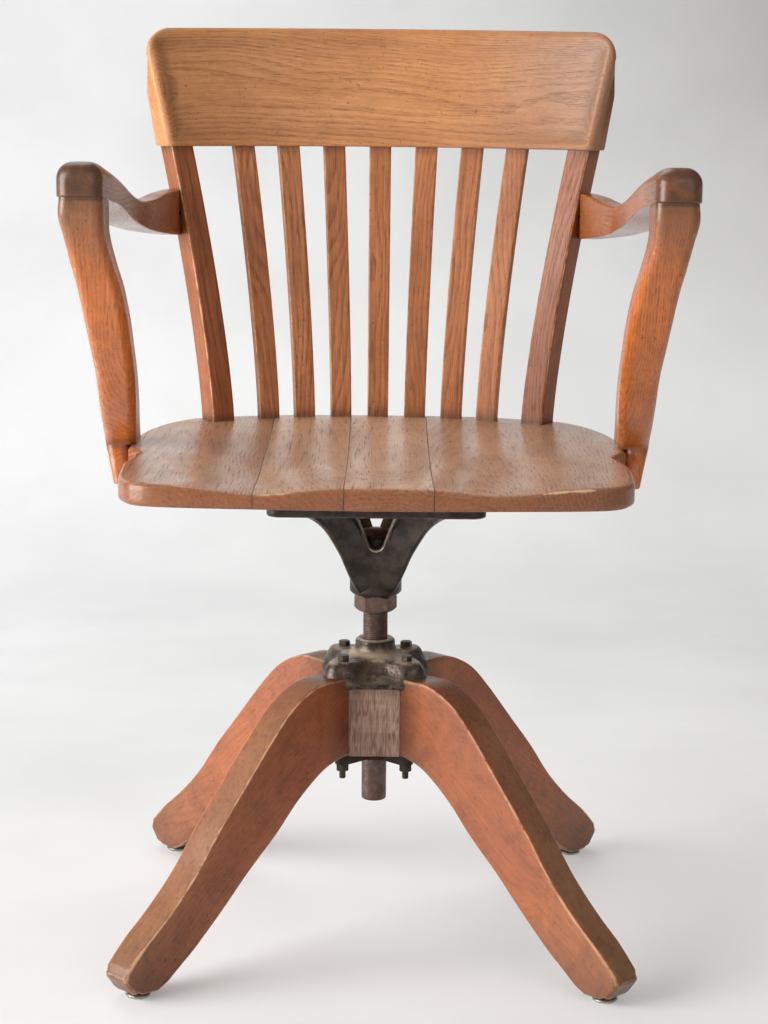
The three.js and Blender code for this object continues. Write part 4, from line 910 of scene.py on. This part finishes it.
def board_shell(left, right, number):
    """A board's top grid and its underside grid, each lowered or raised by a quarter round at the rim, joined
    by a wall round their borders. The layers are worn at the arrises, dark along the joints, paler on top as
    painted sheen, and free of rings on the cut ends."""
    x, y = board_grid(left, right)
    rim = from_rim(x, y)
    joint = np.minimum(*[np.abs(x - edge) if edge in BOARD_JOINTS else 999 for edge in (left, right)])
    joint = np.maximum(joint - BOARD_GAP / 2, 0)

    def drop(distance, radius):
        short = np.clip(radius - distance, 0, radius)
        return radius - np.sqrt(radius ** 2 - short ** 2)

    top = seat_height(x, y) - drop(rim, EDGE_ROUND) - drop(joint, 0.3)
    slope = ramp(rim, UNDERSIDE_SLOPE, 0)
    bottom = SEAT_UNDERSIDE + 0.2 + (SEAT_TOP - RIM_THICKNESS - SEAT_UNDERSIDE) * slope + drop(rim, 3.5)
    rows, places = x.shape
    index = np.arange(rows * places).reshape(rows, places)
    border = np.concatenate([index[0], index[1:, -1], index[-1, -2::-1], index[-2:0:-1, 0]])
    upper, lower = points_of(x, y, top).reshape(-1, 3), points_of(x, y, bottom).reshape(-1, 3)
    share = np.array([0.25, 0.5, 0.75])[:, None, None]
    wall = upper[border] * (1 - share) + lower[border] * share
    count = len(upper)
    wall_index = count + np.arange(3 * len(border)).reshape(3, -1)
    low_index = index + count + 3 * len(border)
    loops = np.stack([border, *wall_index, low_index.ravel()[border]])
    quads = [np.stack([g[:-1, :-1], g[:-1, 1:], g[1:, 1:], g[1:, :-1]], axis=-1).reshape(-1, 4)
             for g in (index, low_index[:, ::-1])]
    following = np.roll(loops, -1, axis=1)
    side = np.stack([loops[:-1], loops[1:], following[1:], following[:-1]], axis=-1)
    points = np.vstack([upper, wall.reshape(-1, 3), lower])
    away, seam = [np.concatenate([flat, np.tile(flat[border], 3), flat])
                  for flat in (rim.ravel(), joint.ravel())]
    x, y, z = points.T
    on_top = np.arange(len(points)) < count
    arris = bell(away, 1.6, 2.2) * (z > SEAT_TOP - 26)
    chipped = 0.5 * bell(x, 176, 26, 4) + 0.36 * bell(x, -88, 17, 4)
    near = arris * (0.62 + chipped * (y < -170) * on_top) * np.where(y < 0, 1, 0.55)
    seam_dirt = 0.7 * bell(seam, 0, 0.5) + 0.1 * bell(seam, 0, 5)
    pith_x, pith_z = BOARD_PITHS[number]
    grain = points_of(y + 900 * number, x - (left + right) / 2 + pith_x,
                      z - SEAT_TOP + pith_z + BOARD_TILTS[number] * y) * MM
    # Painted sheen: a paler tone on the top, away from the rim and stronger on the middle boards, where the
    # wall's light glances off the glossy seat.
    fade_and_painted_light = on_top * ramp(away, 0, 7) * BOARD_SHEENS[number]
    cut_ends = np.where(on_top, ramp(away, 4, 0), 1) * ramp(np.abs(y), 120, 180)
    layers = {"grain": grain, "wear": near, "grime": seam_dirt, "aged": fade_and_painted_light, "endgrain": cut_ends}
    return {"points": points, "quads": np.vstack([*quads, side.reshape(-1, 4)]), "caps": [], "layers": layers}


# The seat's paler tone is painted sheen on the tops of the boards.
SEAT_OAK = old_oak("seat_oak", "ab6a42", "7a4628", "44281a", "e2bd92", ring=4.0, rough=(0.24, 0.38),
                   coat=0.3, wear=0.42, grime=0.7, blotch=0.35, figure=0.85, streaks=0.3, pores=0.75,
                   pore_size=(14, 800), fade_and_painted_light="dfb896", murk=0.2)
edges = (-SEAT_HALF_WIDTH, *BOARD_JOINTS, SEAT_HALF_WIDTH)
for number in range(4):
    board = board_shell(edges[number], edges[number + 1], number)
    make_piece(f"seat_plank_{number + 1}", [board], "seat", [f"seat_board_{number + 1}"],
               SEAT_OAK, sharp=60)


# Slats: seven oak slats let into the seat and the crest. They stand on an arc, fan out and bend back as they
# rise, and their arrises are eased.
BACK_FOOT_RADIUS = 318
BACK_FOOT_PLACE = 220
BACK_HEIGHT = 288
BACK_FAN = 83
BACK_LEAN = 52
BACK_BEND = 1.35
SLAT_COUNT = 7
SLAT_ANGLE = 7.1
SLAT_WIDTHS = (22.3, 23.6)
SLAT_DEPTH = 10.5
SLAT_ARRIS = 1.8
CREST_BOTTOM = SEAT_TOP + BACK_HEIGHT


def back_place(degrees, share, outward):
    """A place on the back: on an arc whose radius and centre move out and back with a power of the height's
    share, and in a straight line above the slats, and so far behind its front face."""
    angle = np.radians(degrees)
    bend = np.where((share > 0) & (share < 1), np.clip(share, 0, 1) ** BACK_BEND, share)
    radius = BACK_FOOT_RADIUS + BACK_FAN * bend
    middle = BACK_FOOT_PLACE + BACK_LEAN * bend - radius
    return (radius + outward) * np.sin(angle), middle + (radius + outward) * np.cos(angle)


def stave_rings(foot_degrees, splay, widths, depth, arris, dirt_and_shade):
    """Level rings of an upright of the back, square to the arc, from just inside the seat to just inside the
    crest, with its grain's coordinates and the painted shade at both ends, where it meets the seat and the
    crest."""
    share = np.linspace(-0.012, 1.012, 90)
    degrees = foot_degrees + splay * share
    half = (widths[0] + (widths[1] - widths[0]) * share) / 2
    across, behind, near = rounded_section(-half, 0, half, depth, arris)
    foot_x, foot_y = back_place(degrees, share, 0)
    angle = np.radians(degrees)[:, None]
    x = foot_x[:, None] + across * np.cos(angle) + behind * np.sin(angle)
    y = foot_y[:, None] - across * np.sin(angle) + behind * np.cos(angle)
    z = (SEAT_TOP + share * BACK_HEIGHT)[:, None] + 0 * x
    # Painted shade: darker where the upright stands in the seat and just under the crest.
    ends = bell(z, SEAT_TOP, dirt_and_shade[0]) + 0.8 * bell(z, CREST_BOTTOM, dirt_and_shade[1])
    return points_of(x, y, z), near, points_of(z, across, behind), ends


BACK_OAK = old_oak("back_oak", "cd8550", "985530", "54301c", "d9ab7a", figure=0.45)
for number in range(SLAT_COUNT):
    degrees = (number - (SLAT_COUNT - 1) // 2) * SLAT_ANGLE
    rings, near, grain, ends = stave_rings(degrees, 0, SLAT_WIDTHS, SLAT_DEPTH, SLAT_ARRIS, (9, 7))
    grain = (grain + [500 * number, 9 * (number % 3) - 6, 24 + 13 * (number % 4)]) * MM
    slat = shell_of(rings, grain=grain, wear=near, grime=ends)
    make_piece(f"back_slat_{number + 1}", [slat], "seat", [f"slat_{number + 1}"], BACK_OAK)


# Back posts: two stouter and darker uprights of oak at the ends of the arc, let into the seat and the crest
# like the slats. They also carry the arms.
POST_ANGLE = 30.9
POST_SPLAY = 0.6
POST_WIDTHS = (26, 26)
POST_DEPTH = 28
POST_ARRIS = 2.4
SIDES = (("right", 1), ("left", -1))
POST_OAK = old_oak("post_oak", "ae6535", "7c4122", "4a2816", "d9ab7a", blotch=0.4, figure=0.4)
for side, sign in SIDES:
    rings, near, grain, ends = stave_rings(POST_ANGLE, POST_SPLAY, POST_WIDTHS, POST_DEPTH, POST_ARRIS,
                                           (6, 6))
    grain = (grain + [4100 + 700 * sign, 11 * sign, 32]) * MM
    post = shell_of(rings * [sign, 1, 1], grain=grain, wear=near, grime=ends)
    make_piece("back_upright_" + side, [post], "seat", ["back_post_" + side], POST_OAK)


# Crest rail: a tall oak board steamed to the back's arc. It leans back, thins upwards, is scooped in front
# and has a rolled rim and round upper corners. Its varnish is lighter, with painted shade just inside the
# scoop's rim and a darker, greyer painted shade towards the right end, away from the lamp.
CREST_HEIGHT = 126
CREST_ANGLE = 34
CREST_FOOT_DEPTH = 32
CREST_HEAD_DEPTH = 20
CREST_CORNER = 26
CREST_END_ROUND = 9
CREST_RIM = 17
CREST_ROUNDS = [3.0, 5.5, 8.5, 2.5]
CREST_HOLLOW = 3
CREST_ARC_RADIUS = 430
CREST_HALF_WIDTH = 248


def crest_rings():
    """Upright rings along the rail. Each is a rounded section as tall as the corner's round allows there,
    laid back on the arc, thinner upwards and hollowed in front inside a rim of even width. Gives the layers
    too: wear, grain, the painted shade just inside the scoop's rim and the painted shade towards the right."""
    swing = np.linspace(-1, 1, 260)
    station = np.sign(swing) * (1 - (1 - np.abs(swing)) ** 1.6)
    length = np.radians(CREST_ANGLE) * CREST_ARC_RADIUS
    from_end = length * (1 - np.abs(station))
    over = np.clip(CREST_CORNER - from_end, 0, CREST_CORNER)
    height = CREST_HEIGHT - CREST_CORNER + np.sqrt(CREST_CORNER ** 2 - over ** 2)
    end_round = ramp(from_end, CREST_END_ROUND, 0)
    shrink = CREST_END_ROUND * (1 - np.sqrt(1 - end_round ** 2))
    depth, up, near = rounded_section(shrink, 0, CREST_FOOT_DEPTH - 0.4 * shrink, height, CREST_ROUNDS,
                                      corner=9, side=24)
    rise = up / CREST_HEIGHT
    s = station[:, None]
    thick = CREST_FOOT_DEPTH + (CREST_HEAD_DEPTH - CREST_FOOT_DEPTH) * rise
    inside = np.minimum(np.minimum(up - 2, height[:, None] - up - 3), from_end[:, None] - 3)
    scoop = ramp(inside, 0, CREST_RIM)
    hollow = CREST_HOLLOW * scoop ** 2 * (3 - 2 * scoop) * (1 - depth / CREST_FOOT_DEPTH)
    outward = depth / CREST_FOOT_DEPTH * thick + hollow - CREST_HOLLOW
    radius = BACK_FOOT_RADIUS + BACK_FAN * (1 + rise * CREST_HEIGHT / BACK_HEIGHT) + outward
    degrees = s * np.minimum(CREST_ANGLE + rise, np.degrees(np.arcsin(CREST_HALF_WIDTH / radius)))
    x, y = back_place(degrees, 1 + rise * CREST_HEIGHT / BACK_HEIGHT, outward)
    z = CREST_BOTTOM + rise * (CREST_HEIGHT - 3) + 3 * rise * (1 - s ** 2)
    along = np.radians(degrees) * CREST_ARC_RADIUS
    grain = points_of(along, up - 64 + 8 * np.sin(2.2 * s), outward + 47) * MM
    in_front = depth < 14
    near = np.maximum(0.6 * near, 0.35 * bell(inside, 1, 5) * in_front)
    near_end = np.clip(1 - from_end[:, None] / 60, 0.25, 1)
    # Painted shade in the hollow just inside the scoop's rim, strongest near the ends.
    scoop_shade = 0.75 * bell(inside, 0.8 * CREST_RIM, 7) * in_front * near_end
    # Painted shade: a darker, greyer tone towards the right end, away from the lamp.
    return points_of(x, y, z), near, grain, scoop_shade, ramp(s, 0.3, 0.75) + 0 * rise


# Its faded tone is the painted shade at the right end.
CREST_OAK = old_oak("crest_oak", "dc9d68", "b27243", "694226", "dfb486", ring=2.6, warp=0.03,
                    rough=(0.34, 0.48), wear=0.4, blotch=0.5, streaks=0.35, pores=0.7, pore_size=(70, 2200),
                    fade_and_painted_light="8a6856", murk=0.22)
rings, near, grain, scoop_shade, fade_and_painted_light = crest_rings()
crest = shell_of(rings, grain=grain, wear=near, grime=scoop_shade, aged=fade_and_painted_light)
make_piece("crest_board", [crest], "seat", ["crest_rail"], CREST_OAK)


# Arm supports: oak sawn to an S. The foot laps the seat's edge in its notch and the head reaches forward to
# the knob. All their arrises are well rounded, and their varnish is glossy and red-orange.
SUPPORT_FRONT = 186
SUPPORT_HEIGHT = 253
SUPPORT_OUTER = 290.5
ARM_SLOPE = 0.129
SUPPORT_ROWS = [(-0.15, 0.8, 0.9, -0.065, 0.3), (-0.06, 0.812, 0.916, -0.05, 0.307),
                (0, 0.8245, 0.93, -0.01, 0.308), (0.04, 0.8225, 0.93, -0.06, 0.25),
                (0.1, 0.816, 0.93, -0.16, 0.13), (0.2, 0.806, 0.929, -0.31, -0.05),
                (0.32, 0.8, 0.929, -0.457, -0.23), (0.435, 0.8, 0.935, -0.61, -0.385),
                (0.54, 0.803, 0.943, -0.725, -0.5), (0.66, 0.818, 0.956, -0.815, -0.568),
                (0.75, 0.837, 0.97, -0.89, -0.618), (0.855, 0.856, 0.987, -0.955, -0.65),
                (0.93, 0.857, 1, -0.99, -0.664), (1, 0.857, 0.996, -1, -0.667)]


def support_rings():
    """Level rings up the support, read off its table. Below the seat's top its inner side keeps clear of the
    board, and near the head the rings lean to the arm's sloping underside."""
    share = np.concatenate([np.linspace(-0.15, -0.0005, 16), np.linspace(0.0008, 1, 110)])
    inner, outer, front, back = read_rows(SUPPORT_ROWS, share).T
    inner, outer = inner * SUPPORT_OUTER, outer * SUPPORT_OUTER
    inner = np.where(share < 0, np.maximum(inner, SEAT_HALF_WIDTH + 0.3), inner)
    round_corner = np.minimum(9, (outer - inner) * 0.42)
    x, y, near = rounded_section(inner, front * SUPPORT_FRONT, outer, back * SUPPORT_FRONT,
                                 [round_corner] * 4, corner=9)
    z = (SEAT_TOP + share * SUPPORT_HEIGHT)[:, None]
    lean = ramp(share, 0.86, 1)[:, None] ** 2
    z = z - 0.3 - lean * ARM_SLOPE * np.clip(y + SUPPORT_FRONT, 0, None)
    return round_ends(points_of(x, y, z), near * 0.8, 1.6, (True, False))


ARM_OAK = old_oak("arm_oak", "dc7c39", "a65828", "4f2614", "cf9a6c", rough=(0.18, 0.34), coat=0.35,
                  wear=0.34, grime=0.85, blotch=0.5, streaks=0.4, fade_and_painted_light="7d6348")
rings, near = support_rings()
x, y, z = np.moveaxis(rings, -1, 0)
z = z - SEAT_TOP
lift = ramp(z, 0, SUPPORT_HEIGHT)
dulled = ramp(lift, 0.72, 0.97)
# Painted shade just under the knob and where the foot meets the seat; the head is darkened by handling.
dirt_and_shade = np.maximum(bell(z, SUPPORT_HEIGHT - 2, 3) + 0.7 * bell(z, 0, 6), 0.45 * dulled)
for side, sign in SIDES:
    grain = points_of(z + SEAT_TOP - 0.3 * y + 800 * sign, y + 150 * lift + 30, x - 235 + 9 * sign) * MM
    support = shell_of(rings * [sign, 1, 1], grain=grain, wear=near, grime=dirt_and_shade, aged=dulled)
    make_piece("arm_post_" + side, [support], "seat", ["arm_support_" + side], ARM_OAK)


# Arms: oak bars sawn to a sweep, from a round knob over the support back to a lap on the post's outer side.
# The knobs are dark from hands, and the left arm is duller than the right one.
ARM_FRONT = -190
ARM_LENGTH = 405
KNOB_OUTER = 291.5
KNOB_TOP = 283.5
KNOB_DOME = 0.037
KNOB_BOTTOM = 0.887
ARM_ARRIS = 1.8
ARM_DULLNESS = {"right": 0.5, "left": 0.9}
ARM_ROWS = [(0.037, 0.854, 1, 0.887, 1, 0.42), (0.094, 0.85, 0.998, 0.878, 0.996, 0.38),
            (0.148, 0.846, 0.992, 0.868, 0.978, 0.3), (0.175, 0.845, 0.989, 0.863, 0.967, 0.22),
            (0.247, 0.84, 0.981, 0.852, 0.945, 0.16), (0.351, 0.834, 0.967, 0.827, 0.914, 0.13),
            (0.469, 0.825, 0.952, 0.788, 0.876, 0.13), (0.58, 0.818, 0.936, 0.758, 0.85, 0.13),
            (0.691, 0.811, 0.915, 0.736, 0.834, 0.13), (0.753, 0.799, 0.893, 0.723, 0.831, 0.13),
            (0.815, 0.78, 0.862, 0.711, 0.834, 0.13), (0.877, 0.756, 0.83, 0.7, 0.848, 0.13),
            (0.951, 0.73, 0.792, 0.69, 0.857, 0.13), (1, 0.72, 0.775, 0.687, 0.857, 0.13)]


def arm_rings():
    """Upright rings from the knob back, read off the arm's table: round in their upper corners, nearly sharp
    below. Over the knob's first stretch they swell as a quarter ellipse, which gives it a domed front."""
    dome = KNOB_DOME * (1 - np.cos(np.linspace(0, np.pi / 2, 14)))
    place = np.append(dome, np.linspace(0.045, 1, 120))
    inner, outer, bottom, top, arris = read_rows(ARM_ROWS, np.maximum(place, KNOB_DOME)).T
    inner, outer = inner * KNOB_OUTER, outer * KNOB_OUTER
    low, high = SEAT_TOP + bottom * KNOB_TOP, SEAT_TOP + top * KNOB_TOP
    swell = np.sqrt(1 - ramp(place, KNOB_DOME, 0) ** 2)
    middle, half = (inner + outer) / 2, (outer - inner) / 2 * (0.42 + 0.58 * swell)
    tall = (high - low) * (0.5 + 0.5 * swell)
    low = low + 2.5 * (1 - swell)
    inner, outer, high = middle - half, middle + half, np.minimum(low + tall, high)
    round_top = np.minimum(arris * (outer - inner), 0.48 * (high - low))
    sharp = 0 * low + ARM_ARRIS
    x, z, near = rounded_section(inner, low, outer, high, [sharp, round_top, round_top, sharp], corner=9)
    y = (ARM_FRONT + place * ARM_LENGTH)[:, None]
    near = near * np.where(place > 0.2, 0.85, 0.0)[:, None]
    return round_ends(points_of(x, y, z), near, 2.2, (False, True))


rings, near = arm_rings()
x, y, z = np.moveaxis(rings, -1, 0)
back = ramp(y, ARM_FRONT, ARM_FRONT + ARM_LENGTH)
handled = np.maximum(ramp(back, 0.24, 0.08) * 0.95, 0.25)
# Painted shade along the knob's lower edge, where it sits on the support.
join = bell(z, SEAT_TOP + KNOB_BOTTOM * KNOB_TOP, 3) * (back < 0.15)
dirt_and_shade = np.maximum(handled, join)
front = ramp(back, 1.3 * KNOB_DOME, 0.3 * KNOB_DOME)
for side, sign in SIDES:
    grain = points_of(y + 1500 + 600 * sign, z - 740 + 60 * back, x - 235 + 20 * back) * MM
    arm = shell_of(rings * [sign, 1, 1], grain=grain, wear=near, grime=dirt_and_shade, endgrain=front,
                   aged=np.full(back.shape, ARM_DULLNESS[side]))
    make_piece("arm_bar_" + side, [arm], "seat", ["arm_" + side], ARM_OAK)


# Arm screws: a countersunk steel screw through each arm's lap into the post's side, level and square to it,
# and hidden by the lap.
ARM_SCREW_SHARE = 0.76
ARM_SCREW_DEGREES = POST_ANGLE + POST_SPLAY * ARM_SCREW_SHARE
ARM_SCREW_PROFILE = [(0.05, -11), (1.4, -8), (2.2, -6), (2.2, 14.5), (5, 18), (0.05, 18)]
screw_x, screw_y = back_place(ARM_SCREW_DEGREES, ARM_SCREW_SHARE, POST_DEPTH / 3)
across, up, along = np.moveaxis(revolved(ARM_SCREW_PROFILE, places=24), -1, 0)
turn = np.radians(ARM_SCREW_DEGREES)
screw = points_of(screw_x + along * np.cos(turn) + across * np.sin(turn),
                  screw_y - along * np.sin(turn) + across * np.cos(turn),
                  SEAT_TOP + ARM_SCREW_SHARE * BACK_HEIGHT + up)
for side, sign in SIDES:
    make_piece("arm_fixing_" + side, [shell_of(screw * [sign, 1, 1])], "seat", ["arm_screw_" + side],
               BOLT_STEEL)


# Dowels: oak pins glued into each arm and its support, out of sight inside both. Their CAD solids are kept
# and take the arms' oak.
keep_solid(["arm_dowel_right", "arm_dowel_left"], ARM_OAK)


# Stage: a pale floor that runs up into a pale wall, a large soft lamp on the left, two weak ones on the right
# and behind, and the camera where the photograph was taken, above the arms and looking down.
FLOOR_COLOUR = "e5e7e9"
FAR_SHADE = "6a6666"
CAMERA_AWAY = 2.348
CAMERA_HEIGHT = 0.844
FOCAL_PIXELS = 2389
LONG_SIDE_PIXELS = 1024
PITCH, ROLL, PAN = 10.13, 0.6, 0.11
SHEET_HALF_WIDTH = 6
WALL_Y = 2.6
WALL_ROUND = 1.2


def sweep_points():
    """A sheet that runs along the floor, turns up in a quarter circle and goes on as a wall."""
    turn = np.linspace(0, np.pi / 2, 24)
    y = np.concatenate([[-6, -1, 0.8], WALL_Y - WALL_ROUND * (1 - np.sin(turn)), [WALL_Y]])
    z = np.concatenate([[0, 0, 0], WALL_ROUND * (1 - np.cos(turn)), [6]])
    return points_of(np.linspace(-SHEET_HALF_WIDTH, SHEET_HALF_WIDTH, 9), y[:, None], z[:, None])


grid = sweep_points()
index = np.arange(grid.shape[0] * grid.shape[1]).reshape(grid.shape[:2])
quads = np.stack([index[:-1, :-1], index[:-1, 1:], index[1:, 1:], index[1:, :-1]], axis=-1).reshape(-1, 4)
sheet = bpy.data.meshes.new("backdrop")
sheet.from_pydata(grid.reshape(-1, 3), [], quads.tolist())
sheet.shade_smooth()
backdrop = bpy.data.objects.new("backdrop", sheet)
bpy.context.scene.collection.objects.link(backdrop)
look = Look("backdrop_paper")
paper = look.blend(look.spread(look.noise(look.place, 3.0, 6.0), 0.3, 0.7), "dcdee0", FLOOR_COLOUR)
x, y, z = look.node("SeparateXYZ", {0: look.place}).outputs
# Painted shade: the paper darkens to the right and up the wall, as the light of the lamp on the left falls
# off.
far_side = look.times(look.spread(x, -0.6, 2.2), look.spread(z, 0.1, 1.6, 0.25, 1.0))
path = look.node("LightPath").outputs
seen = look.maths("MAXIMUM", look.maths("MAXIMUM", path["Is Camera Ray"], path["Is Glossy Ray"]),
                  path["Is Transmission Ray"])
# Painted light: the floor glows for camera, glossy and transmission rays, most in front and to the right,
# which lightens the chair's shadow there; the glow fades out up the wall.
glow = look.blend(look.spread(y, 0.3, 1.3), look.spread(x, -0.45, 0.0, 0.1, 0.22), (0.14, 0.14, 0.14, 1.0))
glow = look.times(glow, look.spread(z, 0.1, 0.9, 1.0, 0.0))
# A camera behind the wall looks through it.
behind = look.times(look.node("NewGeometry").outputs["Backfacing"], path["Is Camera Ray"])
clear = look.node("BsdfTransparent").outputs[0]
one_sided = look.node("MixShader", {0: behind, 1: look.shader.outputs[0], 2: clear})
look.give(look.output, {0: one_sided.outputs[0]})
sheet.materials.append(look.finished({
    "Base Color": look.blend(far_side, paper, FAR_SHADE), "Emission Strength": look.times(seen, glow),
    "Emission Color": (1.0, 1.0, 1.0, 1.0), "Roughness": 0.9}))

world = bpy.data.worlds.new("studio")
bpy.context.scene.world = world
world.use_nodes = True
world.node_tree.nodes["Background"].inputs[0].default_value = (1.0, 0.94, 0.86, 1.0)
world.node_tree.nodes["Background"].inputs[1].default_value = 0.4


def soft_lamp(name, place, aim, size, power):
    """A square lamp that faces the place it is aimed at."""
    lamp = bpy.data.lights.new(name, "AREA")
    lamp.shape, lamp.size, lamp.energy = "SQUARE", size, power
    holder = bpy.data.objects.new(name, lamp)
    holder.location = place
    holder.rotation_mode = "QUATERNION"
    holder.rotation_quaternion = (Vector(aim) - Vector(place)).to_track_quat("-Z", "Y")
    bpy.context.scene.collection.objects.link(holder)


soft_lamp("window_lamp", (-2.8, -1.2, 1.15), (0, 0, 0.45), 2.4, 140)
soft_lamp("fill_lamp", (1.4, -3.0, 1.9), (0, 0, 0.5), 2.4, 15)
soft_lamp("back_lamp", (-0.6, 1.2, 2.6), (0, 0.3, 0.6), 1.6, 14)

camera = bpy.data.objects.new("camera", bpy.data.cameras.new("camera"))
camera.data.sensor_width = 36
camera.data.lens = 36 * FOCAL_PIXELS / LONG_SIDE_PIXELS
camera.location = (0.003, AXIS_Y - CAMERA_AWAY, CAMERA_HEIGHT)
look = Matrix.Rotation(np.radians(-PAN), 4, "Z") @ Matrix.Rotation(np.radians(90 - PITCH), 4, "X")
camera.matrix_world = Matrix.Translation(camera.location) @ look @ Matrix.Rotation(np.radians(ROLL), 4, "Z")
bpy.context.scene.collection.objects.link(camera)
bpy.context.scene.camera = camera
bpy.context.scene.view_settings.view_transform = "Standard"
